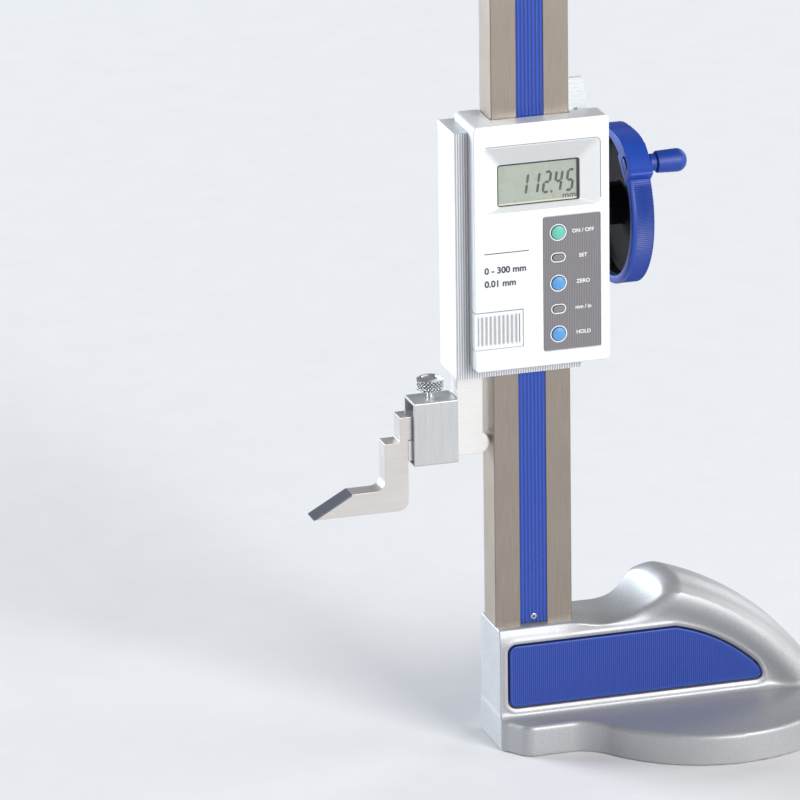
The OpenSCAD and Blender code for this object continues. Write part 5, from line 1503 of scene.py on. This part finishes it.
def wheel_profile():
    """Closed section of the dish: hub, web, rim, and back along the right face."""
    left, right_face = WHEEL_LOW[0] + 2 * SKIN, WHEEL_HIGH[0] - 2 * SKIN
    band_x = np.linspace(RIBS_FROM + 0.05, RIBS_TO - 0.05, 3)
    return np.array([
        (left, HUB_BORE), (left, HUB_RADIUS - 0.5), (left + 0.15, HUB_RADIUS - 0.15),
        (left + 0.5, HUB_RADIUS), (WEB_LEFT - 1.2, HUB_RADIUS), (WEB_LEFT - 0.35, HUB_RADIUS + 0.35),
        (WEB_LEFT, HUB_RADIUS + 1.2), (WEB_LEFT, RIM_INNER - 1.2), (WEB_LEFT - 0.35, RIM_INNER - 0.35),
        (WEB_LEFT - 1.2, RIM_INNER), (left + 0.5, RIM_INNER), (left + 0.15, RIM_INNER + 0.15),
        (left, RIM_INNER + 0.5), (left, WHEEL_RADIUS - 0.9), (left + 0.26, WHEEL_RADIUS - 0.26),
        (left + 0.9, WHEEL_RADIUS), (RIBS_FROM - 0.3, WHEEL_RADIUS),
        *[(x, WHEEL_RADIUS - CROWN_DROP) for x in band_x],
        (RIBS_TO + 0.2, WHEEL_RADIUS - CROWN_DROP), (right_face - 0.3, WHEEL_RADIUS - 0.4),
        (right_face, WHEEL_RADIUS - 1.0), (right_face, WHEEL_RADIUS - 3.0),
        (right_face - 0.7, WHEEL_RADIUS - 4.0), (right_face - 0.7, HUB_RADIUS + 2.5),
        (right_face, HUB_RADIUS + 1.0), (right_face, HUB_BORE),
    ])

wheel_shell = turned(wheel_profile(), "x", (SHAFT_Y, SHAFT_Z), WHEEL_RIBS * 6, wheel_ribs, wrap=True)

# %% Lug and fairing
LUG_RAY = np.array([math.cos(LUG_ANGLE), math.sin(LUG_ANGLE)])
KNOB_PLACE = np.array([SHAFT_Y, SHAFT_Z]) + KNOB_REACH * LUG_RAY
LUG_EDGE = 0.35
AXLE_HEAD_ROOM, AXLE_HEAD_SEAT = 3.9, WHEEL_LOW[0] + 2.6

def place_on_rim(flat):
    """Turns an outline that was drawn on the wheel's level radius to the lug's angle."""
    turn = np.array([LUG_RAY, (-LUG_RAY[1], LUG_RAY[0])])
    return flat @ turn + [SHAFT_Y, SHAFT_Z]

def fairing_shell():
    """A wedge along the rim: its outer reach grows in an S from the rim's radius to the lug's."""
    turn = np.linspace(-FAIRING, -FLAT_TO, 36)
    share = np.clip((turn + FAIRING) / (FAIRING - FLAT_TO), 0, 1)
    reach = WHEEL_RADIUS - 0.2 + (LUG_OUTER - SKIN - WHEEL_RADIUS + 0.2) * ease(share)
    ray = rays(turn)
    inner = (WHEEL_RADIUS - 1.8) * ray[::-1]
    low, high = WHEEL_LOW[0] + SKIN, WHEEL_HIGH[0] - SKIN
    drops = [(LUG_EDGE, low), (0.1, low + 0.1), (0, low + LUG_EDGE), (0, high - LUG_EDGE),
             (0.1, high - 0.1), (LUG_EDGE, high)]
    levels = [(place_on_rim(np.concatenate([(reach - drop)[:, None] * ray, inner])), depth)
              for drop, depth in drops]
    return stacked(levels, "x")

def lug_shell():
    """The lug's outline, turned to its place, carried along the axis; its left face leads into a round hole
    for the axle's head."""
    turn = np.linspace(-math.radians(12), math.radians(7), 14)
    outer = LUG_OUTER * rays(turn)
    lower = soften([(LUG_OUTER - 0.3, 0), (LUG_OUTER - 0.3, LUG_HALF), (LUG_INNER, LUG_HALF),
                    (LUG_INNER, -LUG_HALF), (38, -8.1)], [0.3, 1.0, 1.2, 1.2, 0.3], 10)[10:40]
    outline = place_on_rim(np.concatenate([outer, lower]))
    ray = outline - KNOB_PLACE
    hole = KNOB_PLACE + AXLE_HEAD_ROOM * ray / np.linalg.norm(ray, axis=1, keepdims=True)
    inset, rise = quarter_round(LUG_EDGE)
    levels = [(shrink(outline, i), WHEEL_HIGH[0] - r) for i, r in zip(inset, rise)]
    levels += [(shrink(outline, i), WHEEL_LOW[0] + r) for i, r in zip(inset[::-1], rise[::-1])]
    levels += [(hole, WHEEL_LOW[0]), (hole, AXLE_HEAD_SEAT)]
    return stacked(levels, "x")

dish_shell = join(wheel_shell, lug_shell(), fairing_shell())
# painted shade: the finish darkens the grooves between the rim's ribs
dish_reach = np.hypot(dish_shell[0][:, 1] - SHAFT_Y, dish_shell[0][:, 2] - SHAFT_Z)
dish_deep = (WHEEL_RADIUS - CROWN_DROP - dish_reach) / WHEEL_RIB_DEPTH
dish_sunk = np.where(dish_reach > WHEEL_RADIUS - 0.5, dish_deep, 0)
make_piece("handwheel_dish", dish_shell, WHEEL, "handwheel", ["handwheel"], sunk=dish_sunk)

# %% Painted shade inside the wheel
SHADE_SHEET_WALL = 0.35
RECESS_FACE, RECESS_BACK = WHEEL_LOW[0] + 0.02, WHEEL_LOW[0] + 1.15
# painted shade: a dark sleeve in the hole for the knob's axle
axle_shade_profile = [(RECESS_FACE, AXLE_HEAD_ROOM), (RECESS_FACE, AXLE_HEAD_ROOM - 0.25),
                  (RECESS_BACK - 0.1, AXLE_HEAD_ROOM - 0.25), (RECESS_BACK - 0.1, 2.2), (RECESS_BACK, 2.2),
                  (RECESS_BACK, AXLE_HEAD_ROOM)]
make_piece("axle_hole_shade_sleeve", turned(axle_shade_profile, "x", KNOB_PLACE, 48, wrap=True), SHADE_SHEET, "handwheel")
# painted shade: a dark sheet over the inside of the dish and its hub
shade_sheet_profile = [
    (WHEEL_LOW[0] + 0.2, HUB_BORE + 0.1), (WHEEL_LOW[0] - 0.2, HUB_BORE + 0.1),
    (WHEEL_LOW[0] - 0.2, HUB_RADIUS), (WHEEL_LOW[0] + 0.2, HUB_RADIUS + SHADE_SHEET_WALL),
    (WEB_LEFT - 1.5, HUB_RADIUS + SHADE_SHEET_WALL), (WEB_LEFT - 0.8, HUB_RADIUS + 0.8),
    (WEB_LEFT - SHADE_SHEET_WALL, HUB_RADIUS + 1.6), (WEB_LEFT - SHADE_SHEET_WALL, RIM_INNER - 1.5),
    (WEB_LEFT - 0.9, RIM_INNER - 0.9), (WEB_LEFT - 1.5, RIM_INNER - SHADE_SHEET_WALL),
    (WHEEL_LOW[0] + 2.2, RIM_INNER - SHADE_SHEET_WALL), (WHEEL_LOW[0] + 2.0, RIM_INNER + 0.1),
    (WEB_LEFT + 0.2, RIM_INNER + 0.1), (WEB_LEFT + 0.2, HUB_RADIUS - 0.3)]
shade_sheet_shell = turned(shade_sheet_profile, "x", (SHAFT_Y, SHAFT_Z), 128, wrap=True)
make_piece("handwheel_shade_sheet", shade_sheet_shell, SHADE_SHEET, "handwheel")

# %% [markdown]
# ## Knob and clamp lever
#
# The knob on the handwheel is a turned plastic handle with a neck, a groove and a round end. The clamp
# lever stands beside the slider: a hub on a stud and a leaning thumb pad with sawn steps. Its side view is
# an outline with notches, carried along X.

# %% Knob
KNOB_LOW, KNOB_HIGH = span("knob")
KNOB_RADIUS = (KNOB_HIGH[1] - KNOB_LOW[1]) / 2
NECK_LEFT, BODY_LEFT, KNOB_END, END_ROUND = KNOB_LOW[0], KNOB_LOW[0] + 3.2, KNOB_HIGH[0] - 0.05, 4.4
NECK = KNOB_RADIUS - 1.3
end_turn = np.linspace(0, math.pi / 2 - 0.02, 14)
knob_profile = np.concatenate([
    [(NECK_LEFT, 2.2), (NECK_LEFT, NECK - 0.25), (NECK_LEFT + 0.25, NECK), (BODY_LEFT - 0.7, NECK),
     (BODY_LEFT - 0.5, NECK - 0.4), (BODY_LEFT - 0.2, NECK - 0.4), (BODY_LEFT, NECK),
     (BODY_LEFT, NECK + 0.5), (BODY_LEFT + 0.15, KNOB_RADIUS - 0.45), (BODY_LEFT + 0.5, KNOB_RADIUS - 0.3)],
    np.column_stack([KNOB_END - END_ROUND + END_ROUND * np.sin(end_turn),
                     KNOB_RADIUS - END_ROUND + END_ROUND * np.cos(end_turn)]),
    [(KNOB_END + 0.04, 0.01)],
])
make_piece("knob_handle", turned(knob_profile, "x", KNOB_PLACE, 64), WHEEL, "knob", ["knob"])

# %% Clamp lever
LEVER_LOW, LEVER_HIGH = span("clamp_lever")
LEVER_Y, LEVER_Z, LEVER_RADIUS = 4.0, 274.0, 5.4
LEVER_LEFT = FRAME_HIGH[0] + 0.4
PAD_FOOT = FRAME_HIGH[2] + 3.9
PAD_FRONT = np.array([(LEVER_Y - 5.4, PAD_FOOT), (LEVER_Y + 2.2, LEVER_HIGH[2])])
PAD_STEPS, STEP_DEPTH = 7, 0.55

def pad_outline():
    """The front slope runs up in small saw teeth; the back leans the same way."""
    share = np.linspace(0, 1, PAD_STEPS * 8 + 1)
    along = PAD_FRONT[1] - PAD_FRONT[0]
    inward = np.array([along[1], -along[0]]) / np.linalg.norm(along)
    tooth = (share * PAD_STEPS) % 1
    sink = STEP_DEPTH * np.clip((tooth - 0.62) / 0.19, 0, 1) * np.clip((1 - tooth) / 0.19, 0, 1)
    front = PAD_FRONT[0] + share[:, None] * along + sink[:, None] * inward
    rear = [(LEVER_Y + 5.0, LEVER_HIGH[2]), (LEVER_Y + 3.6, PAD_FOOT)]
    return np.concatenate([front, rear])

def arm_outline():
    """The hub's lower half circle and straight sides up to the pad."""
    angle = np.linspace(math.pi, math.tau, 33)
    hub = [LEVER_Y, LEVER_Z] + LEVER_RADIUS * rays(angle)
    return np.concatenate([hub, [(LEVER_Y + 3.6, PAD_FOOT + 0.3), (LEVER_Y - 5.4, PAD_FOOT + 0.3)]])

lever_shell = join(slab(arm_outline(), LEVER_LEFT, LEVER_HIGH[0], "x", 0.4),
                   slab(pad_outline(), LEVER_LOW[0], LEVER_HIGH[0], "x", 0.15))
make_piece("clamp_lever_pad", lever_shell, LEVER, "clamp_lever", ["clamp_lever"])

# %% [markdown]
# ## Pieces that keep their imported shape
#
# The rack, the pinion, the shaft, the screws and what lies inside the housing already have their right
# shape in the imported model. They only get a finish.

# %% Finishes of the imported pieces
KEPT = {
    "main_scale": FOIL, "column_bolts": BLACK, "feed_rack": CUT, "gib_strip": BRONZE, "gib_screws": BLACK,
    "clamp_shoe": BRONZE, "housing_screws": BLACK, "keypad_mat": RUBBER, "circuit_board": BOARD,
    "sensor_head": BLACK, "coin_cell": CELL, "battery_contact": BRONZE, "jaw_screws": BLACK,
    "shaft_bushes": BRONZE, "drive_shaft": SCREW, "pinion": CUT, "hub_screw": SCREW, "knob_axle": SATIN,
    "clamp_stud": BLACK,
}
for node, material in KEPT.items():
    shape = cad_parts[node].data
    shape.materials.clear()
    shape.materials.append(material)
print("packed pieces with a finish:", len(KEPT))

# %% [markdown]
#
# The gauge stands on a pale floor, which isn't part of it. The floor is matt, so that it doesn't mirror
# the lamps. A plain plane would do, and a grid of four points is the same thing.

# %% Floor
FLOOR_GAP = 0.2
reach, under = FLOOR_SIZE / 2, -FLOOR_GAP * MM
floor_corners = [(x * reach, y * reach, under) for x, y in ((-1, -1), (1, -1), (1, 1), (-1, 1))]
floor_mesh = bpy.data.meshes.new("floor")
floor_mesh.from_pydata(floor_corners, [], [(0, 1, 2, 3)])
floor_mesh.materials.append(GROUND)
floor = bpy.data.objects.new("floor", floor_mesh)
scene.collection.objects.link(floor)
